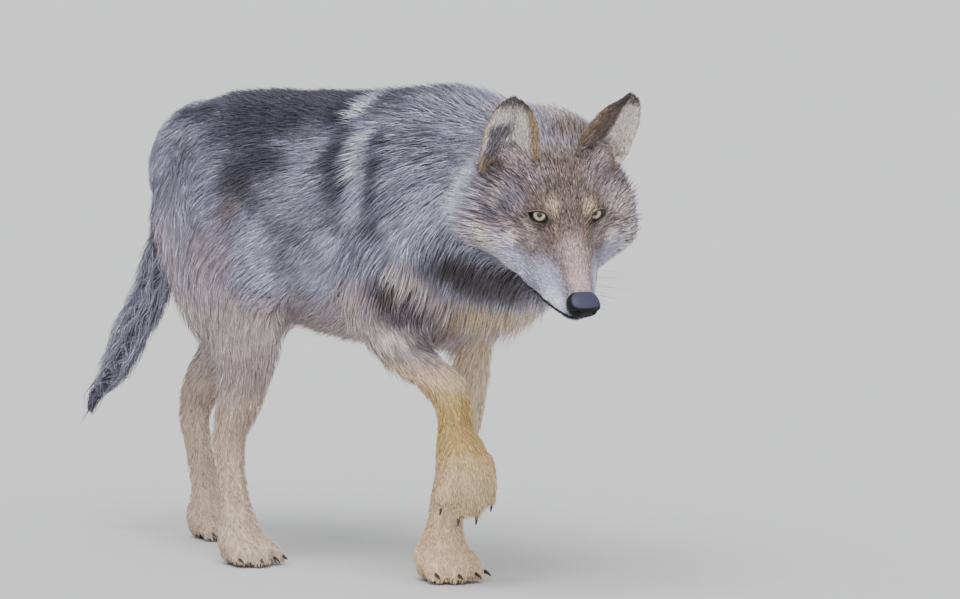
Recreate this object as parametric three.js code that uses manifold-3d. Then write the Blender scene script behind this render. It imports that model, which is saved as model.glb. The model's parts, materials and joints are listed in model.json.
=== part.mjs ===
// A grey wolf, life-size, walking with its head low and its right forefoot lifted.
//
// Every number is in millimetres. +X points forward, +Y to the animal's left and +Z up. The coat's
// outer surface is one smooth field, built from a few body forms that melt into each other. Each
// part of the body is cut from that field, so that neighbours meet face to face with a thin gap.

import * as THREE from "three";
import { mergeVertices } from "three/addons/utils/BufferGeometryUtils.js";
import Module from "manifold-3d";

const wasm = await Module();
wasm.setup();

// ---------------------------------------------------------------- driving dimensions

const WITHERS_HEIGHT = 722; // floor to the top of the coat over the shoulders
const CROUP_X = -405; // the hips, behind the withers, which are at X = 0
const EYE_SPACING = 87; // between the centres of the two eyes
const EYE_RADIUS = 13;
const MUZZLE_REACH = 142; // from between the eyes to the tip of the nose
const HEAD_PITCH = 53; // degrees that the muzzle points down
const HEAD_YAW = -14; // degrees that the head turns, to the animal's right
const EAR_HEIGHT = 125; // from its root, hidden in the crown
const EAR_WIDTH = 88;
const GAP = 0.35; // between parts that touch

// How coarse each part's facets are.
const FACET = { trunk: 52, neck: 40, head: 16, leg: 31, paw: 17.5, tail: 33, nose: 9 };

const vec = (x, y, z) => new THREE.Vector3(x, y, z);
const mix = (a, b, t) => a + (b - a) * t;

// ---------------------------------------------------------------- distance fields

// An ellipsoid, turned by an optional quaternion.
function ball(centre, radii, turn) {
  const back = turn ? turn.clone().invert() : null;
  const q = vec(0, 0, 0);
  return (p) => {
    q.copy(p).sub(centre);
    if (back) q.applyQuaternion(back);
    const x = q.x / radii[0];
    const y = q.y / radii[1];
    const z = q.z / radii[2];
    const k0 = Math.hypot(x, y, z);
    const k1 = Math.hypot(x / radii[0], y / radii[1], z / radii[2]);
    return k1 < 1e-9 ? -Math.min(...radii) : (k0 * (k0 - 1)) / k1;
  };
}

// A bent tube of oval section. Each station has its place, its half depth along the reference
// direction, its half breadth across it, and how much wider it is at the top than below. Its two
// ends bulge by a share of its width.
function tube(stations, reference, steps = 40, bulge = 1) {
  const curve = new THREE.CatmullRomCurve3(stations.map((s) => s.at), false, "centripetal");
  const spans = stations.length - 1;
  const rings = [];
  for (let i = 0; i <= steps; i++) {
    const u = i / steps;
    const span = Math.min(spans - 1, Math.floor(u * spans));
    const t = u * spans - span;
    const ease = t * t * (3 - 2 * t);
    const [a, b] = [stations[span], stations[span + 1]];
    const along = curve.getTangent(u);
    const side = along.clone().cross(reference).normalize();
    rings.push({
      at: curve.getPoint(u),
      along,
      side,
      up: side.clone().cross(along).normalize(),
      depth: mix(a.depth, b.depth, ease),
      breadth: mix(a.breadth, b.breadth, ease),
      egg: mix(a.egg || 0, b.egg || 0, ease),
    });
  }
  const q = vec(0, 0, 0);
  return (p) => {
    let best = 0;
    let share = 0;
    let nearest = Infinity;
    for (let i = 0; i < steps; i++) {
      const a = rings[i].at;
      const b = rings[i + 1].at;
      const [dx, dy, dz] = [b.x - a.x, b.y - a.y, b.z - a.z];
      const long = dx * dx + dy * dy + dz * dz;
      const t = ((p.x - a.x) * dx + (p.y - a.y) * dy + (p.z - a.z) * dz) / long;
      const c = Math.max(0, Math.min(1, t));
      const far = (p.x - a.x - dx * c) ** 2 + (p.y - a.y - dy * c) ** 2 + (p.z - a.z - dz * c) ** 2;
      if (far < nearest) [nearest, best, share] = [far, i, c];
    }
    const [a, b] = [rings[best], rings[best + 1]];
    const depth = mix(a.depth, b.depth, share);
    const egg = mix(a.egg, b.egg, share);
    q.copy(a.at).lerp(b.at, share).sub(p).negate();
    const up = q.dot(a.up) * (1 - share) + q.dot(b.up) * share;
    const side = q.dot(a.side) * (1 - share) + q.dot(b.side) * share;
    const along = q.dot(a.along) * (1 - share) + q.dot(b.along) * share;
    const lean = Math.max(-1, Math.min(1, up / depth));
    const breadth = mix(a.breadth, b.breadth, share) * (1 + egg * lean);
    const end = Math.min(depth, breadth) * bulge;
    const k0 = Math.hypot(up / depth, side / breadth, along / end);
    const k1 = Math.hypot(up / depth ** 2, side / breadth ** 2, along / end ** 2);
    return k1 < 1e-9 ? -end : (k0 * (k0 - 1)) / k1;
  };
}

// Forms that melt into each other over a width.
function melt(width, ...forms) {
  return (p) => {
    let d = forms[0](p);
    for (let i = 1; i < forms.length; i++) {
      const e = forms[i](p);
      const h = Math.max(width - Math.abs(d - e), 0) / width;
      d = Math.min(d, e) - (h * h * width) / 4;
    }
    return d;
  };
}

// A form with another pressed out of it, with a soft edge.
function hollow(width, form, tool) {
  return (p) => {
    const d = form(p);
    const e = -tool(p);
    const h = Math.max(width - Math.abs(d - e), 0) / width;
    return Math.max(d, e) + (h * h * width) / 4;
  };
}

// A form built in a local frame, carried to its place on the body.
function placed(form, matrix) {
  const back = matrix.clone().invert();
  const q = vec(0, 0, 0);
  return (p) => form(q.copy(p).applyMatrix4(back));
}

// ---------------------------------------------------------------- surfaces and solids

// The closed surface of a field inside a box, by surface nets: one vertex for each sheet of the
// surface in a cell, drawn onto the surface itself.
const CORNERS = [0, 1, 2, 3, 4, 5, 6, 7].map((c) => [c & 1, (c >> 1) & 1, c >> 2]);
const EDGES = [
  [0, 1], [2, 3], [4, 5], [6, 7],
  [0, 2], [1, 3], [4, 6], [5, 7],
  [0, 4], [1, 5], [2, 6], [3, 7],
];
const SIDES = [[0, 1, 2, 3], [4, 5, 6, 7], [0, 1, 4, 5], [2, 3, 6, 7], [0, 2, 4, 6], [1, 3, 5, 7]];

// Which sheet of the surface each crossed edge of a cell belongs to.
function sheetsOf(v) {
  const sheet = EDGES.map(([a, b], e) => (v[a] < 0 === v[b] < 0 ? -1 : e));
  const join = (a, b) => {
    const [from, to] = [sheet[a], sheet[b]];
    sheet.forEach((s, e) => {
      if (s === from) sheet[e] = to;
    });
  };
  for (const side of SIDES) {
    const crossed = EDGES.map((_, e) => e).filter(
      (e) => sheet[e] >= 0 && side.includes(EDGES[e][0]) && side.includes(EDGES[e][1]),
    );
    if (crossed.length === 2) join(crossed[0], crossed[1]);
    if (crossed.length !== 4) continue;
    for (const corner of side.filter((c) => v[c] < 0)) {
      const [a, b] = crossed.filter((e) => EDGES[e].includes(corner));
      join(a, b);
    }
  }
  return sheet;
}

function surfaceOf(field, box, cell) {
  const size = box.getSize(vec(0, 0, 0));
  const n = [size.x, size.y, size.z].map((s) => Math.ceil(s / cell) + 2);
  const origin = box.min.clone().subScalar(cell);
  const index = (i, j, k) => (k * (n[1] + 1) + j) * (n[0] + 1) + i;
  const values = new Float64Array((n[0] + 1) * (n[1] + 1) * (n[2] + 1));
  const p = vec(0, 0, 0);
  for (let k = 0; k <= n[2]; k++)
    for (let j = 0; j <= n[1]; j++)
      for (let i = 0; i <= n[0]; i++) {
        const edge = i === 0 || j === 0 || k === 0 || i === n[0] || j === n[1] || k === n[2];
        p.set(origin.x + i * cell, origin.y + j * cell, origin.z + k * cell);
        values[index(i, j, k)] = edge ? cell : field(p);
      }
  const vertexOf = new Map();
  const points = [];
  for (let k = 0; k < n[2]; k++)
    for (let j = 0; j < n[1]; j++)
      for (let i = 0; i < n[0]; i++) {
        const v = CORNERS.map(([a, b, c]) => values[index(i + a, j + b, k + c)]);
        if (v.every((x) => x < 0) || v.every((x) => x >= 0)) continue;
        const sheets = sheetsOf(v);
        for (const sheet of new Set(sheets.filter((s) => s >= 0))) {
          const sum = vec(0, 0, 0);
          const mine = EDGES.map((_, e) => e).filter((e) => sheets[e] === sheet);
          for (const e of mine) {
            const [a, b] = EDGES[e];
            const t = v[a] / (v[a] - v[b]);
            vertexOf.set(index(i, j, k) * 12 + e, points.length);
            sum.x += mix(CORNERS[a][0], CORNERS[b][0], t);
            sum.y += mix(CORNERS[a][1], CORNERS[b][1], t);
            sum.z += mix(CORNERS[a][2], CORNERS[b][2], t);
          }
          sum.divideScalar(mine.length).add(vec(i, j, k)).multiplyScalar(cell).add(origin);
          points.push(sum);
        }
      }
  points.forEach((v) => drawOnto(field, v, cell));
  const faces = [];
  const quad = (cells, first, flip) => {
    const keyOf = ([i, j, k], c) => index(i, j, k) * 12 + first + [3, 2, 0, 1][c];
    const [A, B, C, D] = cells.map((cell, c) => vertexOf.get(keyOf(cell, c)));
    const split = points[A].distanceTo(points[C]) < points[B].distanceTo(points[D]);
    const pair = split ? [[A, B, C], [A, C, D]] : [[A, B, D], [B, C, D]];
    pair.forEach((t) => faces.push(flip ? [t[0], t[2], t[1]] : t));
  };
  for (let k = 0; k < n[2]; k++)
    for (let j = 0; j < n[1]; j++)
      for (let i = 0; i < n[0]; i++) {
        const inside = values[index(i, j, k)] < 0;
        if (j > 0 && k > 0 && inside !== values[index(i + 1, j, k)] < 0)
          quad([[i, j - 1, k - 1], [i, j, k - 1], [i, j, k], [i, j - 1, k]], 0, !inside);
        if (i > 0 && k > 0 && inside !== values[index(i, j + 1, k)] < 0)
          quad([[i - 1, j, k - 1], [i, j, k - 1], [i, j, k], [i - 1, j, k]], 4, inside);
        if (i > 0 && j > 0 && inside !== values[index(i, j, k + 1)] < 0)
          quad([[i - 1, j - 1, k], [i, j - 1, k], [i, j, k], [i - 1, j, k]], 8, !inside);
      }
  return solidFrom(points, faces);
}

// Moves a point along the field's slope until it lies on the surface.
function drawOnto(field, point, cell) {
  const start = point.clone();
  for (let step = 0; step < 4; step++) {
    const slope = slopeOf(field, point);
    const move = -field(point) / Math.max(0.35, slope.length());
    point.addScaledVector(slope.normalize(), Math.max(-cell / 3, Math.min(cell / 3, move)));
  }
  if (point.distanceTo(start) > cell * 0.6) point.copy(start);
}

function slopeOf(field, p) {
  const e = 0.5;
  const q = p.clone();
  const at = (x, y, z) => field(q.set(p.x + x, p.y + y, p.z + z));
  const rise = vec(at(e, 0, 0) - at(-e, 0, 0), at(0, e, 0) - at(0, -e, 0), at(0, 0, e) - at(0, 0, -e));
  return rise.divideScalar(2 * e);
}

function solidFrom(points, faces) {
  const vertProperties = new Float32Array(points.flatMap((p) => [p.x, p.y, p.z]));
  const triVerts = new Uint32Array(faces.flat());
  return new wasm.Manifold(new wasm.Mesh({ numProp: 3, vertProperties, triVerts }));
}

// A three.js geometry as a solid, and back.
function solidOf(geometry, matrix) {
  const bare = (geometry.index ? geometry.toNonIndexed() : geometry.clone()).deleteAttribute("normal");
  bare.deleteAttribute("uv");
  const merged = mergeVertices(matrix ? bare.applyMatrix4(matrix) : bare, 1e-3);
  const vertProperties = merged.attributes.position.array;
  const triVerts = new Uint32Array(merged.index.array);
  return new wasm.Manifold(new wasm.Mesh({ numProp: 3, vertProperties, triVerts }));
}

function geometryOf(solid) {
  const mesh = solid.getMesh();
  const geometry = new THREE.BufferGeometry();
  geometry.setAttribute("position", new THREE.BufferAttribute(new Float32Array(mesh.vertProperties), 3));
  geometry.setIndex(new THREE.BufferAttribute(new Uint32Array(mesh.triVerts), 1));
  geometry.computeVertexNormals();
  return geometry;
}

// The largest piece of a solid, so that a cut leaves no crumbs.
function mainPiece(solid) {
  return solid.decompose().reduce((a, b) => (a.volume() > b.volume() ? a : b));
}

// The same solid with every vertex moved out along its normal.
function grown(solid, margin) {
  const geometry = mergeVertices(geometryOf(solid).deleteAttribute("normal"), 1e-4);
  geometry.computeVertexNormals();
  const [position, normal] = [geometry.attributes.position, geometry.attributes.normal];
  const points = [];
  for (let i = 0; i < position.count; i++)
    points.push(vec(0, 0, 0).fromBufferAttribute(position, i)
      .addScaledVector(vec(0, 0, 0).fromBufferAttribute(normal, i), margin));
  const faces = [];
  for (let i = 0; i < geometry.index.count; i += 3) faces.push([...geometry.index.array.slice(i, i + 3)]);
  return solidFrom(points, faces);
}

// Everything on one side of a plane, as a big block.
function halfSpace(point, normal, offset = 0) {
  const size = 4000;
  const turn = new THREE.Quaternion().setFromUnitVectors(vec(0, 0, 1), normal.clone().normalize());
  const centre = point.clone().addScaledVector(normal.clone().normalize(), size / 2 + offset);
  const matrix = new THREE.Matrix4().compose(centre, turn, vec(1, 1, 1));
  return solidOf(new THREE.BoxGeometry(size, size, size), matrix);
}

// ---------------------------------------------------------------- trunk, neck and tail

const UP = vec(0, 0, 1);
const AHEAD = vec(1, 0, 0);

// Stations of the trunk: where along the body, the coat's top and bottom, half the width.
const trunkStations = [
  { x: -478, top: 682, bottom: 490, half: 86 },
  { x: -420, top: 703, bottom: 440, half: 110 },
  { x: -320, top: 708, bottom: 396, half: 122 },
  { x: -210, top: 710, bottom: 356, half: 130 },
  { x: -100, top: 712, bottom: 340, half: 144 },
  { x: 10, top: 720, bottom: 342, half: 150 },
  { x: 110, top: WITHERS_HEIGHT, bottom: 356, half: 142 },
  { x: 190, top: WITHERS_HEIGHT - 16, bottom: 392, half: 108 },
].map(({ x, top, bottom, half }) => ({
  at: vec(x, 0, (top + bottom) / 2),
  depth: (top - bottom) / 2,
  breadth: half,
  egg: 0.06,
}));
const trunkForm = melt(
  50,
  tube(trunkStations, UP),
  ball(vec(214, 0, 464), [76, 66, 80]), // fore-chest
  ball(vec(-490, 0, 570), [50, 94, 70]), // buttocks
);

const neckForm = tube(
  [
    { at: vec(110, 0, 568), depth: 142, breadth: 134 },
    { at: vec(230, -10, 566), depth: 134, breadth: 130 },
    { at: vec(330, -36, 578), depth: 124, breadth: 116 },
    { at: vec(404, -62, 603), depth: 120, breadth: 100 },
  ],
  UP,
  40,
  0.5,
);

const tailForm = tube(
  [
    { at: vec(-486, 0, 606), depth: 44, breadth: 44 },
    { at: vec(-548, -2, 540), depth: 42, breadth: 42 },
    { at: vec(-585, -6, 440), depth: 40, breadth: 40 },
    { at: vec(-640, -10, 345), depth: 37, breadth: 38 },
    { at: vec(-705, -15, 258), depth: 30, breadth: 31 },
    { at: vec(-772, -20, 182), depth: 13, breadth: 14 },
  ],
  AHEAD,
);

// ---------------------------------------------------------------- legs

// A leg from its root to its paw's knuckles. Breadth is across the body and depth along it.
function limb(joints) {
  return tube(joints.map(([at, depth, breadth]) => ({ at, depth, breadth })), AHEAD, 36);
}

// Each leg's joints: place, half the depth fore and aft, half the width.
const LEGS = {
  fore_right: {
    joints: [
      [vec(190, -92, 545), 62, 46],
      [vec(110, -100, 492), 74, 50],
      [vec(24, -98, 430), 52, 44],
      [vec(60, -88, 372), 43, 38],
      [vec(122, -70, 322), 35, 31],
      [vec(168, -54, 285), 31, 30],
      [vec(174, -51, 240), 27, 28],
      [vec(174, -50, 198), 26, 31],
    ],
    paw: { at: vec(180, -50, 158), pitch: 78, yaw: -6 },
  },
  fore_left: {
    joints: [
      [vec(170, 92, 530), 62, 46],
      [vec(105, 98, 478), 72, 50],
      [vec(62, 92, 415), 50, 42],
      [vec(60, 73, 345), 38, 33],
      [vec(58, 66, 270), 32, 29],
      [vec(54, 50, 200), 31, 29],
      [vec(52, 36, 135), 26, 27],
      [vec(56, 22, 70), 27, 31],
    ],
    paw: { at: vec(82, 10, 0), pitch: 0, yaw: -6 },
  },
  hind_right: {
    joints: [
      [vec(CROUP_X - 15, -80, 590), 84, 42],
      [vec(CROUP_X + 30, -92, 520), 118, 50],
      [vec(-305, -102, 428), 118, 50],
      [vec(-258, -104, 350), 86, 44],
      [vec(-272, -99, 265), 48, 33],
      [vec(-307, -96, 190), 32, 26],
      [vec(-301, -94, 125), 25, 23],
      [vec(-288, -93, 66), 25, 28],
    ],
    paw: { at: vec(-262, -92, 0), pitch: 0, yaw: -3 },
  },
  hind_left: {
    joints: [
      [vec(CROUP_X - 20, 80, 590), 84, 42],
      [vec(CROUP_X - 20, 90, 515), 112, 50],
      [vec(-448, 94, 415), 92, 48],
      [vec(-515, 92, 330), 66, 42],
      [vec(-592, 87, 255), 42, 34],
      [vec(-632, 84, 203), 31, 26],
      [vec(-616, 81, 130), 25, 23],
      [vec(-594, 79, 66), 25, 28],
    ],
    paw: { at: vec(-566, 78, 0), pitch: 0, yaw: 3 },
  },
};

// A paw in its own frame: X forward over the toes, Z up from the ground, the heel pad behind.
// Outer toes stand back from the two middle ones.
const TOES = [
  { side: -30, reach: 26, spread: -9 },
  { side: -11, reach: 43, spread: -3 },
  { side: 11, reach: 43, spread: 3 },
  { side: 30, reach: 26, spread: 9 },
];
const TOE_RADIUS = 15;

function toeTip({ side, reach, spread }) {
  return vec(reach, side + spread, 13);
}

function pawForm(scale) {
  const toes = TOES.map((toe) => {
    const tip = toeTip(toe);
    return tube(
      [
        { at: vec(tip.x - 62, toe.side * 0.72, 34), depth: TOE_RADIUS + 3, breadth: TOE_RADIUS },
        { at: vec(tip.x - 28, toe.side, 31), depth: TOE_RADIUS + 1, breadth: TOE_RADIUS - 1 },
        { at: tip, depth: TOE_RADIUS - 1, breadth: TOE_RADIUS - 2.5 },
      ],
      UP,
      8,
    );
  });
  const heel = melt(14, ball(vec(-22, 0, 26), [34, 34, 30]), ball(vec(-14, 0, 12), [26, 27, 15]));
  const whole = melt(9, heel, ...toes);
  const q = vec(0, 0, 0);
  return (p) => whole(q.copy(p).divideScalar(scale)) * scale;
}

const legNames = Object.keys(LEGS);
for (const name of legNames) {
  const leg = LEGS[name];
  const scale = name.startsWith("fore") ? 1.04 : 0.94;
  leg.scale = scale;
  const turn = new THREE.Quaternion().setFromEuler(
    new THREE.Euler(0, THREE.MathUtils.degToRad(leg.paw.pitch), THREE.MathUtils.degToRad(leg.paw.yaw), "ZYX"),
  );
  leg.pawMatrix = new THREE.Matrix4().compose(leg.paw.at, turn, vec(1, 1, 1));
  leg.shank = limb(leg.joints);
  leg.pawField = placed(pawForm(scale), leg.pawMatrix);
  leg.form = melt(26, leg.shank, leg.pawField);
}

// ---------------------------------------------------------------- head

// The head's own frame has its origin between the eyes, X along the muzzle and Z up.
const EYES_AT = vec(485, -97, 566);
const headTurn = new THREE.Quaternion().setFromEuler(
  new THREE.Euler(0, THREE.MathUtils.degToRad(HEAD_PITCH), THREE.MathUtils.degToRad(HEAD_YAW), "ZYX"),
);
const headMatrix = new THREE.Matrix4().compose(EYES_AT, headTurn, vec(1, 1, 1));
const bothSides = (make) => [make(1), make(-1)];
const EYE_Y = EYE_SPACING / 2;

const skullStations = [
  { x: -108, top: 24, bottom: -84, half: 56, egg: 0 },
  { x: -72, top: 38, bottom: -98, half: 72, egg: -0.05 },
  { x: -30, top: 30, bottom: -101, half: 69, egg: -0.12 },
  { x: 2, top: 11, bottom: -102, half: 62, egg: -0.2 },
  { x: 30, top: -4, bottom: -100, half: 58, egg: -0.22 },
  { x: 62, top: -12, bottom: -96, half: 49, egg: -0.2 },
  { x: 94, top: -16, bottom: -88, half: 38, egg: -0.16 },
  { x: MUZZLE_REACH - 24, top: -20, bottom: -78, half: 26, egg: -0.1 },
].map(({ x, top, bottom, half, egg }) => ({
  at: vec(x, 0, (top + bottom) / 2),
  depth: (top - bottom) / 2,
  breadth: half,
  egg,
}));
const EYE_AXIS = vec(0.62, 0.42, 0.66); // the way the left eye's opening faces
const eyeAt = (s) => vec(2, s * EYE_Y, 0);
const eyeAxis = (s) => vec(EYE_AXIS.x, s * EYE_AXIS.y, EYE_AXIS.z);
const socket = (s) => ball(eyeAt(s).addScaledVector(eyeAxis(s), 20), [15, 15, 15]);
const skullForm = melt(
  14,
  tube(skullStations, UP),
  ...bothSides((s) => ball(vec(-12, s * 30, 7), [22, 20, 13])), // brows
  ...bothSides((s) => ball(vec(-22, s * 50, -24), [34, 22, 22])), // cheekbones
);
const ruffedForm = melt(
  24,
  skullForm,
  ...bothSides((s) => ball(vec(-48, s * 88, -59), [56, 42, 58])), // ruffs
  ...bothSides((s) => ball(vec(-10, s * 54, -72), [46, 32, 32])), // the angles of the jaw
  ...bothSides((s) => ball(vec(-92, s * 64, 10), [30, 26, 26])), // the roots of the ears
);
const faceForm = hollow(6, hollow(6, ruffedForm, socket(1)), socket(-1));
const headForm = placed(faceForm, headMatrix);

// The nose pad, with its two nostrils, in the head's frame.
const NOSE_AT = vec(MUZZLE_REACH - 10, 0, -37);
const nosePad = hollow(
  3,
  hollow(
    3,
    melt(6, ball(NOSE_AT, [15, 23, 16]), ball(NOSE_AT.clone().add(vec(-4, 0, -10)), [12, 15, 12])),
    ball(NOSE_AT.clone().add(vec(10, 10.5, -3)), [9, 4.6, 5]),
  ),
  ball(NOSE_AT.clone().add(vec(10, -10.5, -3)), [9, 4.6, 5]),
);

// ---------------------------------------------------------------- the whole coat

const bodyForm = melt(70, trunkForm, neckForm);
const headedForm = melt(34, bodyForm, headForm);
const coat = (p) => {
  let d = melt(26, headedForm, tailForm)(p);
  for (const name of legNames) d = melt(30, () => d, LEGS[name].form)(p);
  return d;
};

// ---------------------------------------------------------------- cutting the parts

const box = (a, b) => new THREE.Box3(vec(...a), vec(...b));
const above = halfSpace(vec(0, 0, 0), UP);

// Each leg is parted from the trunk by three flat cuts: a roof of two slopes over the shoulder or
// the hip, and an inner slope that runs from between the legs up and out to the body's side.
const ROOFS = {
  fore: {
    ridge: vec(118, 0, 586),
    front: vec(222, 0, 430),
    rear: vec(-10, 0, 430),
    low: [46, 380],
    high: [88, 596],
  },
  hind: {
    ridge: vec(-400, 0, 600),
    front: vec(-200, 0, 400),
    rear: vec(-590, 0, 540),
    low: [22, 380],
    high: [64, 600],
  },
};
function legCell(name, margin) {
  const { ridge, front, rear, low, high } = ROOFS[name.split("_")[0]];
  const side = name.endsWith("left") ? 1 : -1;
  const slope = (a, b, sign) => vec(sign * (b.z - a.z), 0, -sign * (b.x - a.x));
  const inner = vec(0, side * (high[1] - low[1]), low[0] - high[0]);
  return halfSpace(ridge, slope(ridge, front, 1), -margin)
    .intersect(halfSpace(ridge, slope(ridge, rear, -1), -margin))
    .intersect(halfSpace(vec(0, side * low[0], low[1]), inner, -margin));
}
const neckCut = { at: vec(168, 0, 580), normal: vec(0.82, 0, 0.57) };
const headCut = {
  at: vec(-96, 0, -30).applyMatrix4(headMatrix),
  normal: vec(0.9, 0, 0.43).applyQuaternion(headTurn),
};
const tailCut = { at: vec(-546, 0, 580), normal: vec(-0.9, 0, -0.44) };
const beyond = (cut, offset = 0) => halfSpace(cut.at, cut.normal, offset);
function tailCell(margin) {
  const width = 2 * (46 + margin);
  const slab = new THREE.Matrix4().makeTranslation(-600, 0, 400);
  return beyond(tailCut, -margin).intersect(solidOf(new THREE.BoxGeometry(900, width, 900), slab));
}

// The mouth: the jaw lies under a curved cut that starts at the mouth's corner.
const lips = new THREE.Shape();
lips.moveTo(26, -72);
lips.quadraticCurveTo(66, -70, 98, -68);
lips.quadraticCurveTo(122, -66, 150, -56);
lips.lineTo(150, -220);
lips.lineTo(-16, -220);
lips.closePath();
const mouthGeometry = new THREE.ExtrudeGeometry(lips, { depth: 400, bevelEnabled: false, curveSegments: 4 });
mouthGeometry.translate(0, 0, -200).rotateX(Math.PI / 2);

const parts = {};
const trunkBox = box([-640, -190, 300], [360, 190, 780]);
const neckBox = box([60, -230, 330], [560, 160, 790]);
const headBox = new THREE.Box3(vec(-170, -150, -140), vec(170, 150, 110)).applyMatrix4(headMatrix);
const tailBox = box([-820, -90, 130], [-480, 80, 700]);

const eyeballs = bothSides((s) =>
  solidOf(
    new THREE.SphereGeometry(EYE_RADIUS, 10, 7),
    headMatrix.clone().multiply(new THREE.Matrix4().setPosition(eyeAt(s))),
  ),
);
const nose = surfaceOf(placed(nosePad, headMatrix), headBox, FACET.nose);

// ---------------------------------------------------------------- ears

// An ear in its own frame: X is the way it opens, Y across and Z up to the tip. It is a cupped
// leaf with an outer and an inner sheet.
function earSolid(side) {
  const [across, rows] = [6, 7];
  const sheet = (inner) => {
    const ring = [];
    for (let j = 0; j <= rows; j++) {
      const v = 1 - (1 - j / rows) ** 1.5;
      const half = (EAR_WIDTH / 2) * Math.sqrt(Math.max(0.012, 1 - v ** 3.2));
      for (let i = 0; i <= across; i++) {
        const u = (2 * i) / across - 1;
        const cup = 27 * (1 - 0.7 * v) * u * u;
        const lean = -7 * v * v;
        const thick = inner * (8 - 4.5 * v) * (1 - 0.7 * Math.abs(u) ** 3);
        ring.push(vec(cup + lean + thick, half * u * (1 - 0.1 * inner * (1 - v)), v * EAR_HEIGHT));
      }
    }
    return ring;
  };
  const points = [...sheet(0), ...sheet(1)];
  const width = across + 1;
  const layer = width * (rows + 1);
  const at = (i, j, k) => k * layer + j * width + i;
  const faces = [];
  const quad = (a, b, c, d) => faces.push([a, b, c], [a, c, d]);
  for (let j = 0; j < rows; j++)
    for (let i = 0; i < across; i++) {
      quad(at(i, j, 0), at(i, j + 1, 0), at(i + 1, j + 1, 0), at(i + 1, j, 0));
      quad(at(i, j, 1), at(i + 1, j, 1), at(i + 1, j + 1, 1), at(i, j + 1, 1));
    }
  for (let j = 0; j < rows; j++) {
    quad(at(0, j, 0), at(0, j, 1), at(0, j + 1, 1), at(0, j + 1, 0));
    quad(at(across, j, 0), at(across, j + 1, 0), at(across, j + 1, 1), at(across, j, 1));
  }
  for (let i = 0; i < across; i++) {
    quad(at(i, 0, 0), at(i + 1, 0, 0), at(i + 1, 0, 1), at(i, 0, 1));
    quad(at(i, rows, 0), at(i, rows, 1), at(i + 1, rows, 1), at(i + 1, rows, 0));
  }
  // The tip leans out and back, and the mouth of the ear faces forward and a little to its side.
  const root = vec(-94, side * 63, -6);
  const tip = vec(-118, side * 91, 115);
  const rise = tip.clone().sub(root).normalize();
  const open = vec(0.95, side * 0.29, 0.07);
  const left = rise.clone().cross(open).normalize();
  const front = left.clone().cross(rise).normalize();
  const frame = new THREE.Matrix4().makeBasis(front, left, rise).setPosition(root);
  return solidFrom(points.map((p) => p.applyMatrix4(frame).applyMatrix4(headMatrix)), faces);
}

// ---------------------------------------------------------------- claws

// A curved claw on one toe, in the paw's frame: a thin cone that bends down to its point.
function clawSolid(toe, scale, matrix) {
  const [sides, rings] = [4, 2];
  const base = toeTip(toe).add(vec(4, toe.spread * 0.2, 2));
  const points = [];
  for (let r = 0; r < rings; r++) {
    const t = r / rings;
    for (let i = 0; i < sides; i++) {
      const a = (2 * Math.PI * i) / sides;
      const radius = 4.2 * (1 - 0.55 * t);
      points.push(vec(base.x + 21 * t, base.y + radius * 0.8 * Math.cos(a) + toe.spread * 0.15 * t,
        base.z + radius * Math.sin(a) - 7.5 * t * t));
    }
  }
  points.push(vec(base.x + 22, base.y + toe.spread * 0.15, base.z - 9.5), base.clone());
  const faces = [];
  for (let i = 0; i < sides; i++) {
    const n = (i + 1) % sides;
    for (let r = 0; r < rings - 1; r++) {
      faces.push([r * sides + i, r * sides + n, (r + 1) * sides + n]);
      faces.push([r * sides + i, (r + 1) * sides + n, (r + 1) * sides + i]);
    }
    faces.push([(rings - 1) * sides + i, (rings - 1) * sides + n, rings * sides]);
    faces.push([n, i, rings * sides + 1]);
  }
  const carry = matrix.clone().multiply(new THREE.Matrix4().makeScale(scale, scale, scale));
  return solidFrom(points.map((p) => p.applyMatrix4(carry)), faces);
}

// ---------------------------------------------------------------- putting the parts together

parts.trunk = legNames
  .reduce((s, name) => s.subtract(legCell(name, GAP)), surfaceOf(coat, trunkBox, FACET.trunk))
  .subtract(beyond(neckCut, -GAP))
  .subtract(tailCell(GAP));
parts.neck = legNames
  .reduce((s, name) => s.subtract(legCell(name, GAP)), surfaceOf(coat, neckBox, FACET.neck))
  .intersect(beyond(neckCut))
  .subtract(beyond(headCut, -GAP));
parts.tail = surfaceOf(melt(26, trunkForm, tailForm), tailBox, FACET.tail).intersect(tailCell(0));
const headBlank = surfaceOf(headedForm, headBox, FACET.head).intersect(beyond(headCut));
const headWhole = eyeballs
  .reduce((s, eye) => s.subtract(grown(eye, GAP)), headBlank)
  .subtract(grown(nose, GAP));
const underLips = headMatrix.clone().multiply(new THREE.Matrix4().makeTranslation(GAP, 0, -GAP));
parts.head = headWhole.subtract(solidOf(mouthGeometry, headMatrix));
parts.jaw = headWhole.intersect(solidOf(mouthGeometry, underLips));
parts.nose = nose;
eyeballs.forEach((eye, i) => {
  parts[i === 0 ? "eye_left" : "eye_right"] = eye;
});
const headSkin = grown(mainPiece(parts.head), GAP);
for (const [i, name] of ["ear_left", "ear_right"].entries())
  parts[name] = earSolid(i === 0 ? 1 : -1).subtract(headSkin);

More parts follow.
